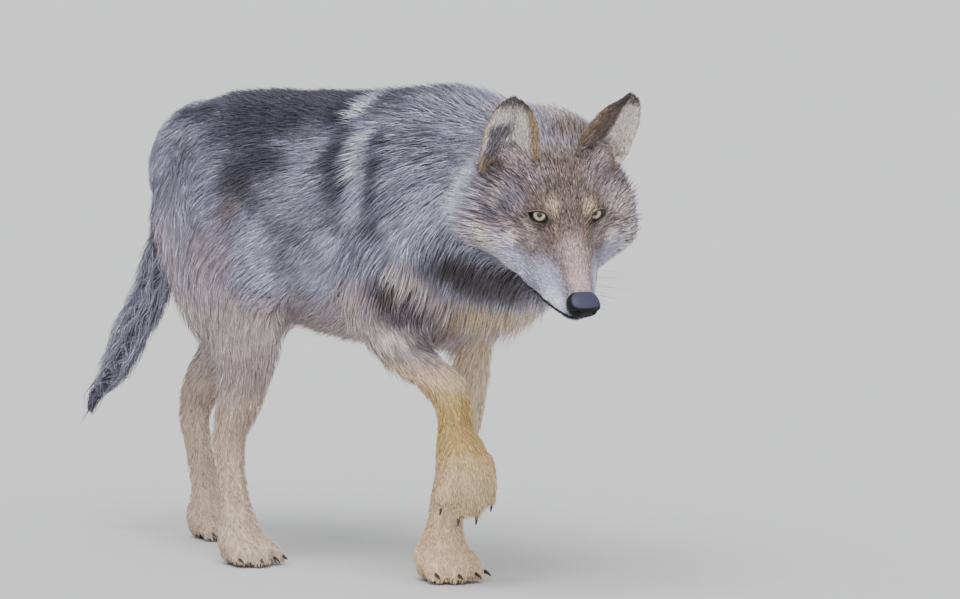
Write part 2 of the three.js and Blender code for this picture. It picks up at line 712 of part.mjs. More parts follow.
for (const name of legNames) {
  const leg = LEGS[name];
  const wrist = { at: leg.joints[7][0], normal: leg.joints[7][0].clone().sub(leg.joints[6][0]) };
  const legCoat = melt(30, bodyForm, leg.form);
  const around = new THREE.Box3().setFromPoints(leg.joints.map(([at]) => at)).expandByScalar(130);
  parts[`leg_${name}`] = surfaceOf(legCoat, around, FACET.leg)
    .intersect(legCell(name, 0))
    .subtract(tailCell(GAP))
    .subtract(beyond(wrist, -GAP));
  const pawBox = new THREE.Box3(vec(-110, -80, -30), vec(90, 80, 110)).applyMatrix4(leg.pawMatrix);
  const paw = mainPiece(surfaceOf(leg.form, pawBox, FACET.paw).intersect(beyond(wrist)).intersect(above));
  parts[`paw_${name}`] = paw;
  const pawSkin = grown(paw, GAP);
  TOES.forEach((toe, i) => {
    const claw = clawSolid(toe, leg.scale, leg.pawMatrix);
    parts[`claw_${name}_${i + 1}`] = claw.subtract(pawSkin).intersect(above);
  });
}

const LOOKS = {
  claw: { color: 0x2a2522, roughness: 0.45 },
  eye: { color: 0xc9a24e, roughness: 0.1 },
  nose: { color: 0x1d1c20, roughness: 0.4 },
  ear: { color: 0xa08a6a, roughness: 0.9 },
  paw: { color: 0xb79f78, roughness: 0.9 },
  leg: { color: 0xa89880, roughness: 0.9 },
  head: { color: 0x8f8377, roughness: 0.9 },
  jaw: { color: 0xc9c1b5, roughness: 0.9 },
  neck: { color: 0x96938f, roughness: 0.95 },
  trunk: { color: 0x77726e, roughness: 0.95 },
  tail: { color: 0x6d6760, roughness: 0.95 },
};

const wolf = new THREE.Group();
for (const [name, solid] of Object.entries(parts)) {
  const looks = LOOKS[name.split("_")[0]];
  const material = new THREE.MeshStandardMaterial({ metalness: 0, ...looks });
  const mesh = new THREE.Mesh(geometryOf(mainPiece(solid)), material);
  mesh.name = name;
  wolf.add(mesh);
}

// The frame's origin is on the floor, under the middle of the whole model.
const bounds = new THREE.Box3().setFromObject(wolf, true);
const middle = bounds.getCenter(vec(0, 0, 0));
wolf.position.set(-middle.x, -middle.y, -bounds.min.z);

export default wolf;
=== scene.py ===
"""The dressed wolf: one skin over the solids, its coat in tufts, eyes, nose pad, claws and whiskers."""

import json
import logging
import math
from collections.abc import Callable
from dataclasses import dataclass, field
from enum import Enum

import bpy
import numpy as np
from mathutils import Matrix, Vector
from mathutils.bvhtree import BVHTree
from mathutils.kdtree import KDTree

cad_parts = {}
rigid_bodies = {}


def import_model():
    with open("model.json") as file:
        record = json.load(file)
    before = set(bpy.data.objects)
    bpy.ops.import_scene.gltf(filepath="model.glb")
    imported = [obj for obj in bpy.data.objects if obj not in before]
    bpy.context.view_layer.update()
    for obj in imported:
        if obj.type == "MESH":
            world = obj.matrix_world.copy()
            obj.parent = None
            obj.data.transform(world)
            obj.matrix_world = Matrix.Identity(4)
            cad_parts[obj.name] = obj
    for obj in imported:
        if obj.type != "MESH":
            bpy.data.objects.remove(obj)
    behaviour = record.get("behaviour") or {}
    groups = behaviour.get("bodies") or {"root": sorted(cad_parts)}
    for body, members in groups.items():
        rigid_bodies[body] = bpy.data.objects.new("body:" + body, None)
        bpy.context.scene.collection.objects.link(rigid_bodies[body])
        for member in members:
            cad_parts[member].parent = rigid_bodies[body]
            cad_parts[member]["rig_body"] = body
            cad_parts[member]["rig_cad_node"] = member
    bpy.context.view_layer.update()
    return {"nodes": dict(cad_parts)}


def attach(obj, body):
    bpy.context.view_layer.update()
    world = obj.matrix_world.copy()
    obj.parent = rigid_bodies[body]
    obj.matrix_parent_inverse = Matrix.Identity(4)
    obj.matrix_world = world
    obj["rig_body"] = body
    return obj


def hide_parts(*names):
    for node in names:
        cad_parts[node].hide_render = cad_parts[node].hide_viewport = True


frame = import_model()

LOG = logging.getLogger("wolf")
MM = 0.001
SHIFT = np.array([107.37, 27.83, 0.0])  # from the body's own millimetres to the row frame

# The head's own frame: X along the muzzle, Y to the animal's left, Z up through the brow.
HEAD_AT = np.array([485.0, -97.0, 566.0])
HEAD_PITCH = 53.0
HEAD_YAW = -14.0
HEAD_TURN = np.array(
    (Matrix.Rotation(math.radians(HEAD_YAW), 3, "Z") @ Matrix.Rotation(math.radians(HEAD_PITCH), 3, "Y"))
)

EYE_SIDE = 43.5
EYE_FORWARD = 2.0
EYE_RADIUS = 13.0
LID_ALONG = np.array([0.514, -0.837, -0.188])  # the left eye's, from its outer to its inner corner
LID_UP = np.array([-0.616, -0.513, 0.598])
LID_OUT = np.array([0.597, 0.191, 0.779])
GAZE = np.array([0.785, -0.613, 0.087])  # the way both irises face, in the body's frame
INWARD = np.array([-0.055, -0.07, 0.0])  # the left one's turn towards the nose
NOSE_CENTRE = np.array([132.0, 0.0, -37.0])
NOSE_RADII = np.array([15.0, 23.0, 16.0])
EAR_ROOT = np.array([-94.0, 63.0, -6.0])
EAR_TIP = np.array([-118.0, 91.0, 115.0])
EAR_OPEN = np.array([0.95, 0.29, 0.07])
EAR_HEIGHT = 125.0
EAR_WIDTH = 88.0
LIPS = ((14.0, -100.0), (40.0, -94.0), (60.0, -87.0), (98.0, -75.0), (125.0, -65.0), (150.0, -57.0))


def body(points: np.ndarray) -> np.ndarray:
    """Turns row-frame metres into the body's millimetres."""
    return np.asarray(points) / MM - SHIFT


def row(points: np.ndarray) -> np.ndarray:
    """Turns the body's millimetres into row-frame metres."""
    return (np.asarray(points) + SHIFT) * MM


def to_head(points: np.ndarray) -> np.ndarray:
    """Turns body millimetres into the head's own frame."""
    return (np.asarray(points) - HEAD_AT) @ HEAD_TURN


def from_head(points: np.ndarray) -> np.ndarray:
    """Turns points of the head's own frame into body millimetres."""
    return np.asarray(points) @ HEAD_TURN.T + HEAD_AT


def unit(v: np.ndarray) -> np.ndarray:
    """Scales vectors to length one."""
    v = np.asarray(v, float)
    return v / np.maximum(np.linalg.norm(v, axis=-1, keepdims=True), 1e-9)


def smooth(low: float, high: float, x: np.ndarray) -> np.ndarray:
    """A soft step from 0 at low to 1 at high."""
    t = np.clip((np.asarray(x, float) - low) / (high - low), 0, 1)
    return t * t * (3 - 2 * t)


def ear_frame(side: int) -> tuple[np.ndarray, np.ndarray]:
    """The ear's own frame.

    Args:
        side: 1 for the left ear, -1 for the right.

    Returns:
        The root in the head's frame, and a matrix whose rows are front, left and rise.
    """
    flip = np.array([1.0, side, 1.0])
    root, tip = EAR_ROOT * flip, EAR_TIP * flip
    rise = unit(tip - root)
    left = unit(np.cross(rise, EAR_OPEN * flip))
    front = unit(np.cross(left, rise))
    return root, np.array([front, left, rise])


# ------------------------------------------------------------------ helpers for meshes


def only(*objects: bpy.types.Object) -> None:
    """Selects these objects and nothing else, the first one active."""
    bpy.ops.object.select_all(action="DESELECT")
    for o in objects:
        o.select_set(True)
    bpy.context.view_layer.objects.active = objects[0]


def points_of(obj: bpy.types.Object) -> np.ndarray:
    """The mesh's vertex positions as an (n, 3) array."""
    out = np.empty(len(obj.data.vertices) * 3, np.float32)
    obj.data.vertices.foreach_get("co", out)
    return out.reshape(-1, 3).astype(float)


def put_points(obj: bpy.types.Object, points: np.ndarray) -> None:
    """Writes vertex positions back to the mesh."""
    obj.data.vertices.foreach_set("co", points.astype(np.float32).ravel())
    obj.data.update()


def normals_of(obj: bpy.types.Object) -> np.ndarray:
    """The mesh's vertex normals as an (n, 3) array."""
    out = np.empty(len(obj.data.vertices) * 3, np.float32)
    obj.data.vertex_normals.foreach_get("vector", out)
    return out.reshape(-1, 3).astype(float)


def edges_of(obj: bpy.types.Object) -> np.ndarray:
    """The mesh's edges as an (n, 2) array of vertex numbers."""
    out = np.empty(len(obj.data.edges) * 2, np.int32)
    obj.data.edges.foreach_get("vertices", out)
    return out.reshape(-1, 2)


def triangles_of(obj: bpy.types.Object) -> np.ndarray:
    """The mesh's triangles as an (n, 3) array of vertex numbers."""
    obj.data.calc_loop_triangles()
    out = np.empty(len(obj.data.loop_triangles) * 3, np.int32)
    obj.data.loop_triangles.foreach_get("vertices", out)
    return out.reshape(-1, 3)


def node_copy(*names: str) -> bpy.types.Object:
    """Joined and merged copies of solids, as one new object.

    Args:
        names: the solids to copy.

    Returns:
        The new object, at the origin.
    """
    copies = []
    for name in names:
        o = frame["nodes"][name].copy()
        o.data = o.data.copy()
        o.parent = None
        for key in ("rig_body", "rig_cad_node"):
            if key in o:
                del o[key]
        o.hide_render = False
        o.hide_viewport = False
        bpy.context.scene.collection.objects.link(o)
        copies.append(o)
    only(*copies)
    if len(copies) > 1:
        bpy.ops.object.join()
    made = bpy.context.view_layer.objects.active
    made.data.materials.clear()
    for layer in list(made.data.uv_layers):
        made.data.uv_layers.remove(layer)
    only(made)
    bpy.ops.object.mode_set(mode="EDIT")
    bpy.ops.mesh.select_all(action="SELECT")
    bpy.ops.mesh.remove_doubles(threshold=1e-5)
    bpy.ops.object.mode_set(mode="OBJECT")
    return made


def apply_modifier(obj: bpy.types.Object, kind: str, **settings: object) -> None:
    """Adds a modifier with these settings and applies it."""
    only(obj)
    m = obj.modifiers.new(kind.lower(), kind)
    for key, value in settings.items():
        setattr(m, key, value)
    bpy.ops.object.modifier_apply(modifier=m.name)


def relax(
    values: np.ndarray, edges: np.ndarray, times: int, weight: np.ndarray | float = 1.0, back: float = 0.0
) -> np.ndarray:
    """Evens values out over a mesh, each towards the mean of its neighbours.

    Args:
        values: an (n,) or (n, k) array, one row a vertex.
        edges: vertex pairs.
        times: how many passes.
        weight: how strongly each vertex takes part, from 0 to 1.
        back: the share that a second half-step gives back, which keeps a form's volume.

    Returns:
        The evened values.
    """
    v = np.array(values, float)
    flat = v.ndim == 1
    v = v.reshape(len(v), -1)
    n = len(v)
    a = np.concatenate([edges[:, 0], edges[:, 1]])
    b = np.concatenate([edges[:, 1], edges[:, 0]])
    count = np.maximum(np.bincount(a, minlength=n), 1)[:, None]
    w = np.broadcast_to(np.asarray(weight, float).reshape(-1, 1), (n, 1))
    for i in range(times * (2 if back else 1)):
        mean = np.stack([np.bincount(a, v[b, k], n) for k in range(v.shape[1])], 1) / count
        step = 0.55 if (not back or i % 2 == 0) else -0.55 * back
        v += step * w * (mean - v)
    return v[:, 0] if flat else v


def mesh_object(name: str, points: np.ndarray, faces: np.ndarray) -> bpy.types.Object:
    """A new mesh object from arrays of points and triangles."""
    mesh = bpy.data.meshes.new(name)
    mesh.vertices.add(len(points))
    mesh.vertices.foreach_set("co", points.astype(np.float32).ravel())
    mesh.loops.add(faces.size)
    mesh.loops.foreach_set("vertex_index", faces.astype(np.int32).ravel())
    mesh.polygons.add(len(faces))
    mesh.polygons.foreach_set("loop_start", np.arange(0, faces.size, 3, dtype=np.int32))
    mesh.polygons.foreach_set("use_smooth", np.ones(len(faces), bool))
    mesh.update(calc_edges=True)
    obj = bpy.data.objects.new(name, mesh)
    bpy.context.scene.collection.objects.link(obj)
    return obj


def put_colour(obj: bpy.types.Object, colours: np.ndarray) -> None:
    """Stores a linear colour a vertex, as the attribute that the coat's finish reads."""
    layers = obj.data.color_attributes
    layer = layers.get("coat") or layers.new("coat", "FLOAT_COLOR", "POINT")
    rgba = np.ones((len(colours), 4), np.float32)
    rgba[:, :3] = colours
    layer.data.foreach_set("color", rgba.ravel())


class Mottle:
    """Smooth random variation in space, for uneven coats."""

    def __init__(self, seed: int, size: float) -> None:
        """Makes the lattice.

        Args:
            seed: the lattice's seed.
            size: the distance between lattice points.
        """
        self.grid = np.random.default_rng(seed).normal(0, 1, (32, 32, 32))
        self.size = size

    def at(self, points: np.ndarray) -> np.ndarray:
        """The variation at these points, about -1 to 1."""
        p = np.asarray(points) / self.size
        i = np.floor(p).astype(int)
        f = p - i
        f = f * f * (3 - 2 * f)
        total = np.zeros(len(p))
        for dx in (0, 1):
            for dy in (0, 1):
                for dz in (0, 1):
                    w = (
                        (f[:, 0] if dx else 1 - f[:, 0])
                        * (f[:, 1] if dy else 1 - f[:, 1])
                        * (f[:, 2] if dz else 1 - f[:, 2])
                    )
                    total += w * self.grid[(i[:, 0] + dx) % 32, (i[:, 1] + dy) % 32, (i[:, 2] + dz) % 32]
        return total


# ------------------------------------------------------------------ the coat's lie, length and depth


class Zone(Enum):
    """The parts of the animal that are combed apart."""

    BODY = 0
    HEAD = 1
    TAIL = 2
    FORE_RIGHT = 3
    FORE_LEFT = 4
    HIND_RIGHT = 5
    HIND_LEFT = 6
    EAR_LEFT = 7
    EAR_RIGHT = 8


NODE_ZONES = {
    "trunk": Zone.BODY,
    "neck": Zone.BODY,
    "head": Zone.HEAD,
    "jaw": Zone.HEAD,
    "tail": Zone.TAIL,
    "ear_left": Zone.EAR_LEFT,
    "ear_right": Zone.EAR_RIGHT,
    "leg_fore_right": Zone.FORE_RIGHT,
    "paw_fore_right": Zone.FORE_RIGHT,
    "leg_fore_left": Zone.FORE_LEFT,
    "paw_fore_left": Zone.FORE_LEFT,
    "leg_hind_right": Zone.HIND_RIGHT,
    "paw_hind_right": Zone.HIND_RIGHT,
    "leg_hind_left": Zone.HIND_LEFT,
    "paw_hind_left": Zone.HIND_LEFT,
}
LEG_ZONES = (Zone.FORE_RIGHT, Zone.FORE_LEFT, Zone.HIND_RIGHT, Zone.HIND_LEFT)

# Each limb's axis from its top down, in body millimetres, with the coat's length and depth there.
LIMBS = {
    Zone.FORE_RIGHT: (
        (190, -100, 545, 62, 22), (110, -104, 492, 52, 18), (40, -98, 430, 42, 13), (62, -88, 372, 30, 9),
        (122, -70, 322, 22, 6), (168, -54, 285, 18, 4.5), (174, -51, 240, 15, 4), (174, -50, 198, 14, 3.5),
        (180, -50, 165, 12, 3), (196, -50, 110, 11, 2.5),
    ),
    Zone.FORE_LEFT: (
        (170, 100, 530, 62, 22), (105, 102, 478, 52, 18), (62, 92, 415, 40, 12), (60, 73, 345, 28, 8),
        (58, 66, 270, 20, 5.5), (54, 50, 200, 16, 4.5), (52, 36, 135, 14, 4), (56, 22, 70, 13, 3.5),
        (82, 10, 30, 11, 2.5),
    ),
    Zone.HIND_RIGHT: (
        (-420, -90, 590, 52, 16), (-375, -98, 520, 50, 15), (-305, -104, 428, 44, 13),
        (-258, -104, 350, 34, 9),
        (-272, -99, 265, 26, 6.5), (-307, -96, 190, 18, 5), (-301, -94, 125, 14, 4), (-288, -93, 66, 13, 3.5),
        (-262, -92, 28, 11, 2.5),
    ),
    Zone.HIND_LEFT: (
        (-425, 90, 590, 52, 16), (-425, 96, 515, 50, 15), (-448, 96, 415, 44, 13), (-515, 92, 330, 34, 9),
        (-592, 87, 255, 26, 6.5), (-632, 84, 203, 18, 5), (-616, 81, 130, 14, 4), (-594, 79, 66, 13, 3.5),
        (-566, 78, 28, 11, 2.5),
    ),
    Zone.TAIL: (
        (-500, 0, 600, 55, 18), (-548, -2, 540, 62, 21), (-585, -6, 440, 70, 24), (-640, -10, 345, 74, 24),
        (-705, -15, 258, 72, 20), (-772, -20, 182, 60, 9), (-800, -22, 150, 50, 4),
    ),
}

# Where the coat of the body lies and how deep it is: place, lie, length, depth. The two sides are alike.
BODY_LIE = (
    ((-445, 0, 688), (-0.85, 0, -0.5), 52, 17),
    ((-330, 0, 705), (-1, 0, -0.1), 58, 19),
    ((-200, 0, 708), (-1, 0, 0), 60, 20),
    ((-60, 0, 716), (-1, 0, 0), 70, 23),
    ((80, 0, 722), (-1, 0, 0.03), 80, 27),
    ((200, 0, 700), (-1, 0, 0.03), 84, 28),
    ((320, -30, 690), (-1, 0.1, 0.1), 74, 25),
    ((-430, 110, 640), (-0.72, 0.1, -0.68), 48, 15),
    ((-300, 112, 640), (-0.95, 0.05, -0.3), 54, 18),
    ((-150, 112, 640), (-0.98, 0, -0.16), 58, 19),
    ((0, 115, 640), (-0.93, 0, -0.34), 70, 23),
    ((110, 118, 640), (-0.85, 0, -0.5), 76, 26),
    ((220, 115, 640), (-0.9, 0, -0.38), 78, 27),
    ((320, 110, 640), (-0.96, 0.1, -0.2), 70, 25),
    ((-445, 120, 560), (-0.35, 0, -0.93), 46, 14),
    ((-300, 135, 560), (-0.8, 0, -0.6), 52, 16),
    ((-150, 140, 560), (-0.95, 0, -0.3), 56, 18),
    ((-20, 145, 560), (-0.85, 0, -0.5), 62, 20),
    ((90, 148, 560), (-0.6, 0, -0.8), 70, 23),
    ((200, 142, 560), (-0.62, 0, -0.78), 76, 26),
    ((300, 138, 560), (-0.75, 0, -0.66), 76, 27),
    ((-300, 140, 470), (-0.45, 0, -0.89), 50, 15),
    ((-180, 132, 470), (-0.85, 0, -0.52), 54, 17),
    ((-50, 138, 460), (-0.85, 0, -0.52), 58, 18),
    ((70, 140, 470), (-0.4, 0, -0.9), 62, 20),
    ((180, 130, 480), (-0.3, 0, -0.95), 72, 24),
    ((270, 110, 490), (-0.5, 0, -0.87), 76, 27),
    ((340, 60, 500), (-0.6, 0, -0.8), 74, 26),
    ((-250, 60, 375), (-0.93, 0, -0.35), 50, 16),
    ((-100, 60, 360), (-0.93, 0, -0.35), 54, 17),
    ((40, 55, 355), (-0.9, 0, -0.4), 54, 17),
    ((150, 40, 375), (-0.75, 0, -0.65), 56, 19),
    ((240, 30, 415), (-0.3, 0, -0.95), 66, 24),
    ((285, 0, 480), (-0.3, 0, -0.95), 72, 26),
    ((-500, 50, 620), (-0.35, 0, -0.94), 48, 14),
    ((-515, 60, 520), (-0.12, 0, -0.99), 50, 15),
)

# The same on the head, in the head's own frame.
HEAD_LIE = (
    ((118, 6, -20), (-1, 0, 0.05), 6, 1.2),
    ((90, 8, -16), (-1, 0, 0.08), 7, 1.6),
    ((60, 8, -12), (-1, 0.05, 0.12), 8, 2),
    ((30, 8, -4), (-1, 0.08, 0.25), 9, 2.6),
    ((2, 8, 10), (-0.88, 0.1, 0.45), 9, 3),
    ((-35, 8, 31), (-0.95, 0.12, 0.3), 12, 4.5),
    ((-75, 8, 38), (-1, 0.05, 0), 18, 7),
    ((-110, 8, 30), (-1, 0, -0.2), 45, 15),
    ((-30, 38, 30), (-0.85, 0.42, 0.3), 12, 4.5),
    ((-70, 48, 32), (-0.9, 0.4, 0.1), 15, 6),
    ((-14, 30, 16), (-0.8, 0.35, 0.45), 11, 3.4),
    ((-22, 58, -2), (-0.82, 0.52, 0.15), 11, 3.6),
    ((-50, 72, 0), (-0.86, 0.48, 0.05), 18, 7),
    ((14, 50, -16), (-0.78, 0.55, -0.28), 9, 2.4),
    ((24, 32, -8), (-0.9, 0.3, 0.1), 8, 2.2),
    ((110, 24, -46), (-0.97, 0.18, -0.15), 6, 1.4),
    ((80, 38, -46), (-0.96, 0.22, -0.15), 7, 1.8),
    ((50, 46, -48), (-0.93, 0.3, -0.2), 9, 2.6),
    ((22, 56, -50), (-0.86, 0.42, -0.28), 13, 4),
    ((-8, 72, -48), (-0.7, 0.64, -0.34), 28, 9),
    ((-10, 112, -76), (-0.3, 0.86, -0.42), 50, 18),
    ((-45, 104, -55), (-0.42, 0.76, -0.5), 62, 18),
    ((-60, 92, -15), (-0.62, 0.74, -0.28), 46, 14),
    ((-92, 96, -40), (-0.8, 0.42, -0.43), 68, 19),
    ((-36, 84, -102), (-0.6, 0.34, -0.72), 64, 18),
    ((-80, 70, -120), (-0.75, 0.15, -0.65), 72, 21),
    ((120, 10, -84), (-1, 0.05, -0.1), 8, 1.8),
    ((80, 20, -94), (-1, 0.05, -0.12), 11, 3),
    ((30, 26, -100), (-1, 0.05, -0.2), 22, 7),
    ((-30, 30, -108), (-0.95, 0, -0.3), 42, 15),
    ((90, 34, -74), (-0.97, 0.12, -0.2), 6, 1.6),
    ((40, 46, -84), (-0.93, 0.2, -0.3), 16, 5),
)


@dataclass
class Comb:
    """The lie, length and depth of the coat at any point, from guides set out over the body.

    Attributes:
        reach: how far a guide's pull spreads, in millimetres.
    """

    reach: float = 22.0
    places: np.ndarray = field(init=False)
    lies: np.ndarray = field(init=False)
    sizes: np.ndarray = field(init=False)
    owners: np.ndarray = field(init=False)

    def __post_init__(self) -> None:
        """Gathers every guide in the body's frame."""
        rows: list[tuple] = []
        for place, lie, length, depth in BODY_LIE:
            for side in (1, -1):
                flip = np.array([1, side, 1])
                rows.append((np.array(place) * flip, np.array(lie) * flip, length, depth, Zone.BODY))
        for place, lie, length, depth in HEAD_LIE:
            for side in (1, -1):
                flip = np.array([1, side, 1])
                there = from_head(np.array(place) * flip)
                rows.append((there, HEAD_TURN @ (np.array(lie) * flip), length, depth, Zone.HEAD))
        for zone, stations in LIMBS.items():
            s = np.array(stations, float)
            for i in range(len(s)):
                along = unit(s[min(i + 1, len(s) - 1), :3] - s[max(i - 1, 0), :3])
                rows.append((s[i, :3], along, s[i, 3], s[i, 4], zone))
        self.places = np.array([r[0] for r in rows], float)
        self.lies = unit(np.array([r[1] for r in rows], float))
        self.sizes = np.array([[r[2], r[3]] for r in rows], float)
        self.owners = np.array([r[4].value for r in rows])

    def at(self, points: np.ndarray, zones: np.ndarray) -> tuple[np.ndarray, np.ndarray, np.ndarray]:
        """Reads the coat at some points.

        Args:
            points: body millimetres.
            zones: each point's zone value.

        Returns:
            The lie, the length and the depth at each point.
        """
        lie = np.zeros((len(points), 3))
        size = np.zeros((len(points), 2))
        for zone in Zone:
            own = zones == zone.value
            if not own.any():
                continue
            if zone in (Zone.BODY, Zone.HEAD):
                guides = np.isin(self.owners, (0, 1))
                if zone is Zone.BODY:
                    guides[:] = True
            elif zone in (Zone.EAR_LEFT, Zone.EAR_RIGHT):
                guides = self.owners == Zone.HEAD.value
            else:
                guides = np.isin(self.owners, (zone.value, Zone.BODY.value))
            place, way, sizes = self.places[guides], self.lies[guides], self.sizes[guides]
            p = points[own]
            gap = (p**2).sum(1)[:, None] + (place**2).sum(1)[None] - 2 * p @ place.T
            w = 1 / (np.maximum(gap, 0) + self.reach**2) ** 2.5
            w /= w.sum(1, keepdims=True)
            lie[own] = w @ way
            size[own] = w @ sizes
        return unit(lie), size[:, 0], size[:, 1]


# ------------------------------------------------------------------ markings


def shade(code: str) -> np.ndarray:
    """A colour as seen on screen, such as "8a8fa0", in linear light."""
    v = np.array([int(code[i : i + 2], 16) for i in (0, 2, 4)]) / 255
    return np.where(v <= 0.04045, v / 12.92, ((v + 0.055) / 1.055) ** 2.4)


class Shade(Enum):
    """The colours of the coat."""

    NAVY = "1d1d30"
    CHARCOAL = "302c3e"
    SLATE = "4b4856"
    STEEL = "6a6775"
    GREY = "8b899b"
    SILVER = "b2b1c6"
    FROST = "d8daf0"
    IVORY = "f2e4dc"
    PAINTED_LIGHT_PEACH = "efc2aa"
    CREAM = "cfc6c1"
    BUFF = "ab9c9c"
    SAND = "cdb596"
    TAN = "a8957a"
    GOLD = "b09358"
    OCHRE = "8c7458"
    UMBER = "362f32"
    BROWN = "6c5d59"
    MAUVE = "a0919a"
    RUST = "9c7868"
    PINK = "b6a09f"
    INK = "141216"


@dataclass(frozen=True)
class Mark:
    """One soft patch of the coat.

    Attributes:
        at: its middle.
        size: how far it reaches along each axis.
        shade: its colour.
        amount: how much of the coat takes it there.
        ticks: how much its tufts vary from dark to light.
    """

    at: tuple[float, float, float]
    size: tuple[float, float, float]
    shade: Shade
    amount: float = 1.0
    ticks: float = 0.3


class Spot(Enum):
    """Places of the coat's marks, in pixels of a view from the far stand of Sight."""

    SADDLE = (270, 112)
    SADDLE_SIDE = (240, 135)
    RUMP_TOP = (195, 112)
    RUMP_CORNER = (182, 114)
    RUMP_LIGHT = (165, 200)
    LOIN_DARK = (262, 160)
    LOIN_BROWN = (222, 212)
    THIGH = (200, 262)
    THIGH_FRONT = (252, 250)
    THIGH_FRONT_LOW = (262, 282)
    FLANK_STREAK = (293, 188)
    FLANK_DARK = (325, 192)
    FLANK_STEEL = (288, 238)
    FLANK_PALE = (322, 252)
    FLANK_PALE_LOW = (308, 280)
    STREAK_HIGH = (354, 136)
    STREAK_MIDDLE = (347, 163)
    STREAK_LOW = (344, 192)
    STREAK_END = (347, 214)
    BAND_HIGH = (370, 142)
    BAND_MIDDLE = (366, 172)
    BAND_LOW = (363, 202)
    BAND_END = (365, 234)
    SHOULDER_TOP = (405, 138)
    NECK_SIDE = (470, 118)
    SHOULDER_PALE = (420, 212)
    FAR_FOREHEAD = (595, 165)
    CHEEK = (492, 242)
    FAR_RUFF = (627, 205)
    TEMPLE = (512, 188)


def solids_tree() -> BVHTree:
    """A search tree of all the solids, in the row frame."""
    verts, faces, base = [], [], 0
    for o in frame["nodes"].values():
        verts.append(points_of(o))
        faces.append(triangles_of(o) + base)
        base += len(o.data.vertices)
    return BVHTree.FromPolygons(np.concatenate(verts).tolist(), np.concatenate(faces).tolist())


@dataclass(frozen=True)
class Sight:
    """A far stand from which places on the solids are picked.

    Attributes:
        tree: the solids.
        turn: degrees from the right side towards the front.
        climb: degrees up.
        distance: millimetres from the stand to the point looked at.
        scale: pixels a millimetre at that point.
        point: the point looked at, in body millimetres.
        pixel: where it is seen.
    """

    tree: BVHTree
    turn: float = 52.0
    climb: float = 5.0
    distance: float = 12000.0
    scale: float = 0.685
    point: tuple[float, float, float] = (-40.0, -20.0, 375.0)
    pixel: tuple[float, float] = (380.0, 320.0)

    def place(self, spot: Spot) -> np.ndarray:
        """Where the line of sight through a spot first meets the solids, in body millimetres."""
        turn, climb = math.radians(self.turn), math.radians(self.climb)
        level = math.cos(climb)
        away = np.array([math.sin(turn) * level, -math.cos(turn) * level, math.sin(climb)])
        right = np.array([math.cos(turn), math.sin(turn), 0.0])
        up = np.cross(away, right)
        across, down = (np.array(spot.value) - self.pixel) / (self.scale * self.distance)
        line = unit(right * across - up * down - away)
        stand = np.array(self.point) + away * self.distance
        return body(np.array(self.tree.ray_cast(Vector(row(stand)), Vector(line))[0]))


SIGHT = Sight(solids_tree())


def on_body(spot: Spot) -> tuple[int, int, int]:
    """The middle of a body mark that both sides have, in whole millimetres."""
    x, y, z = SIGHT.place(spot)
    return int(x), int(abs(y)), int(z)


def on_head(spot: Spot, both: bool = True) -> tuple[int, int, int]:
    """The middle of a head mark in the head's own frame, in whole millimetres.

    Args:
        spot: where it is seen.
        both: whether both sides have it.

    Returns:
        The middle, with Y above 0 when both sides have it.
    """
    x, y, z = np.round(to_head(SIGHT.place(spot))).astype(int).tolist()
    return x, abs(y) if both else y, z


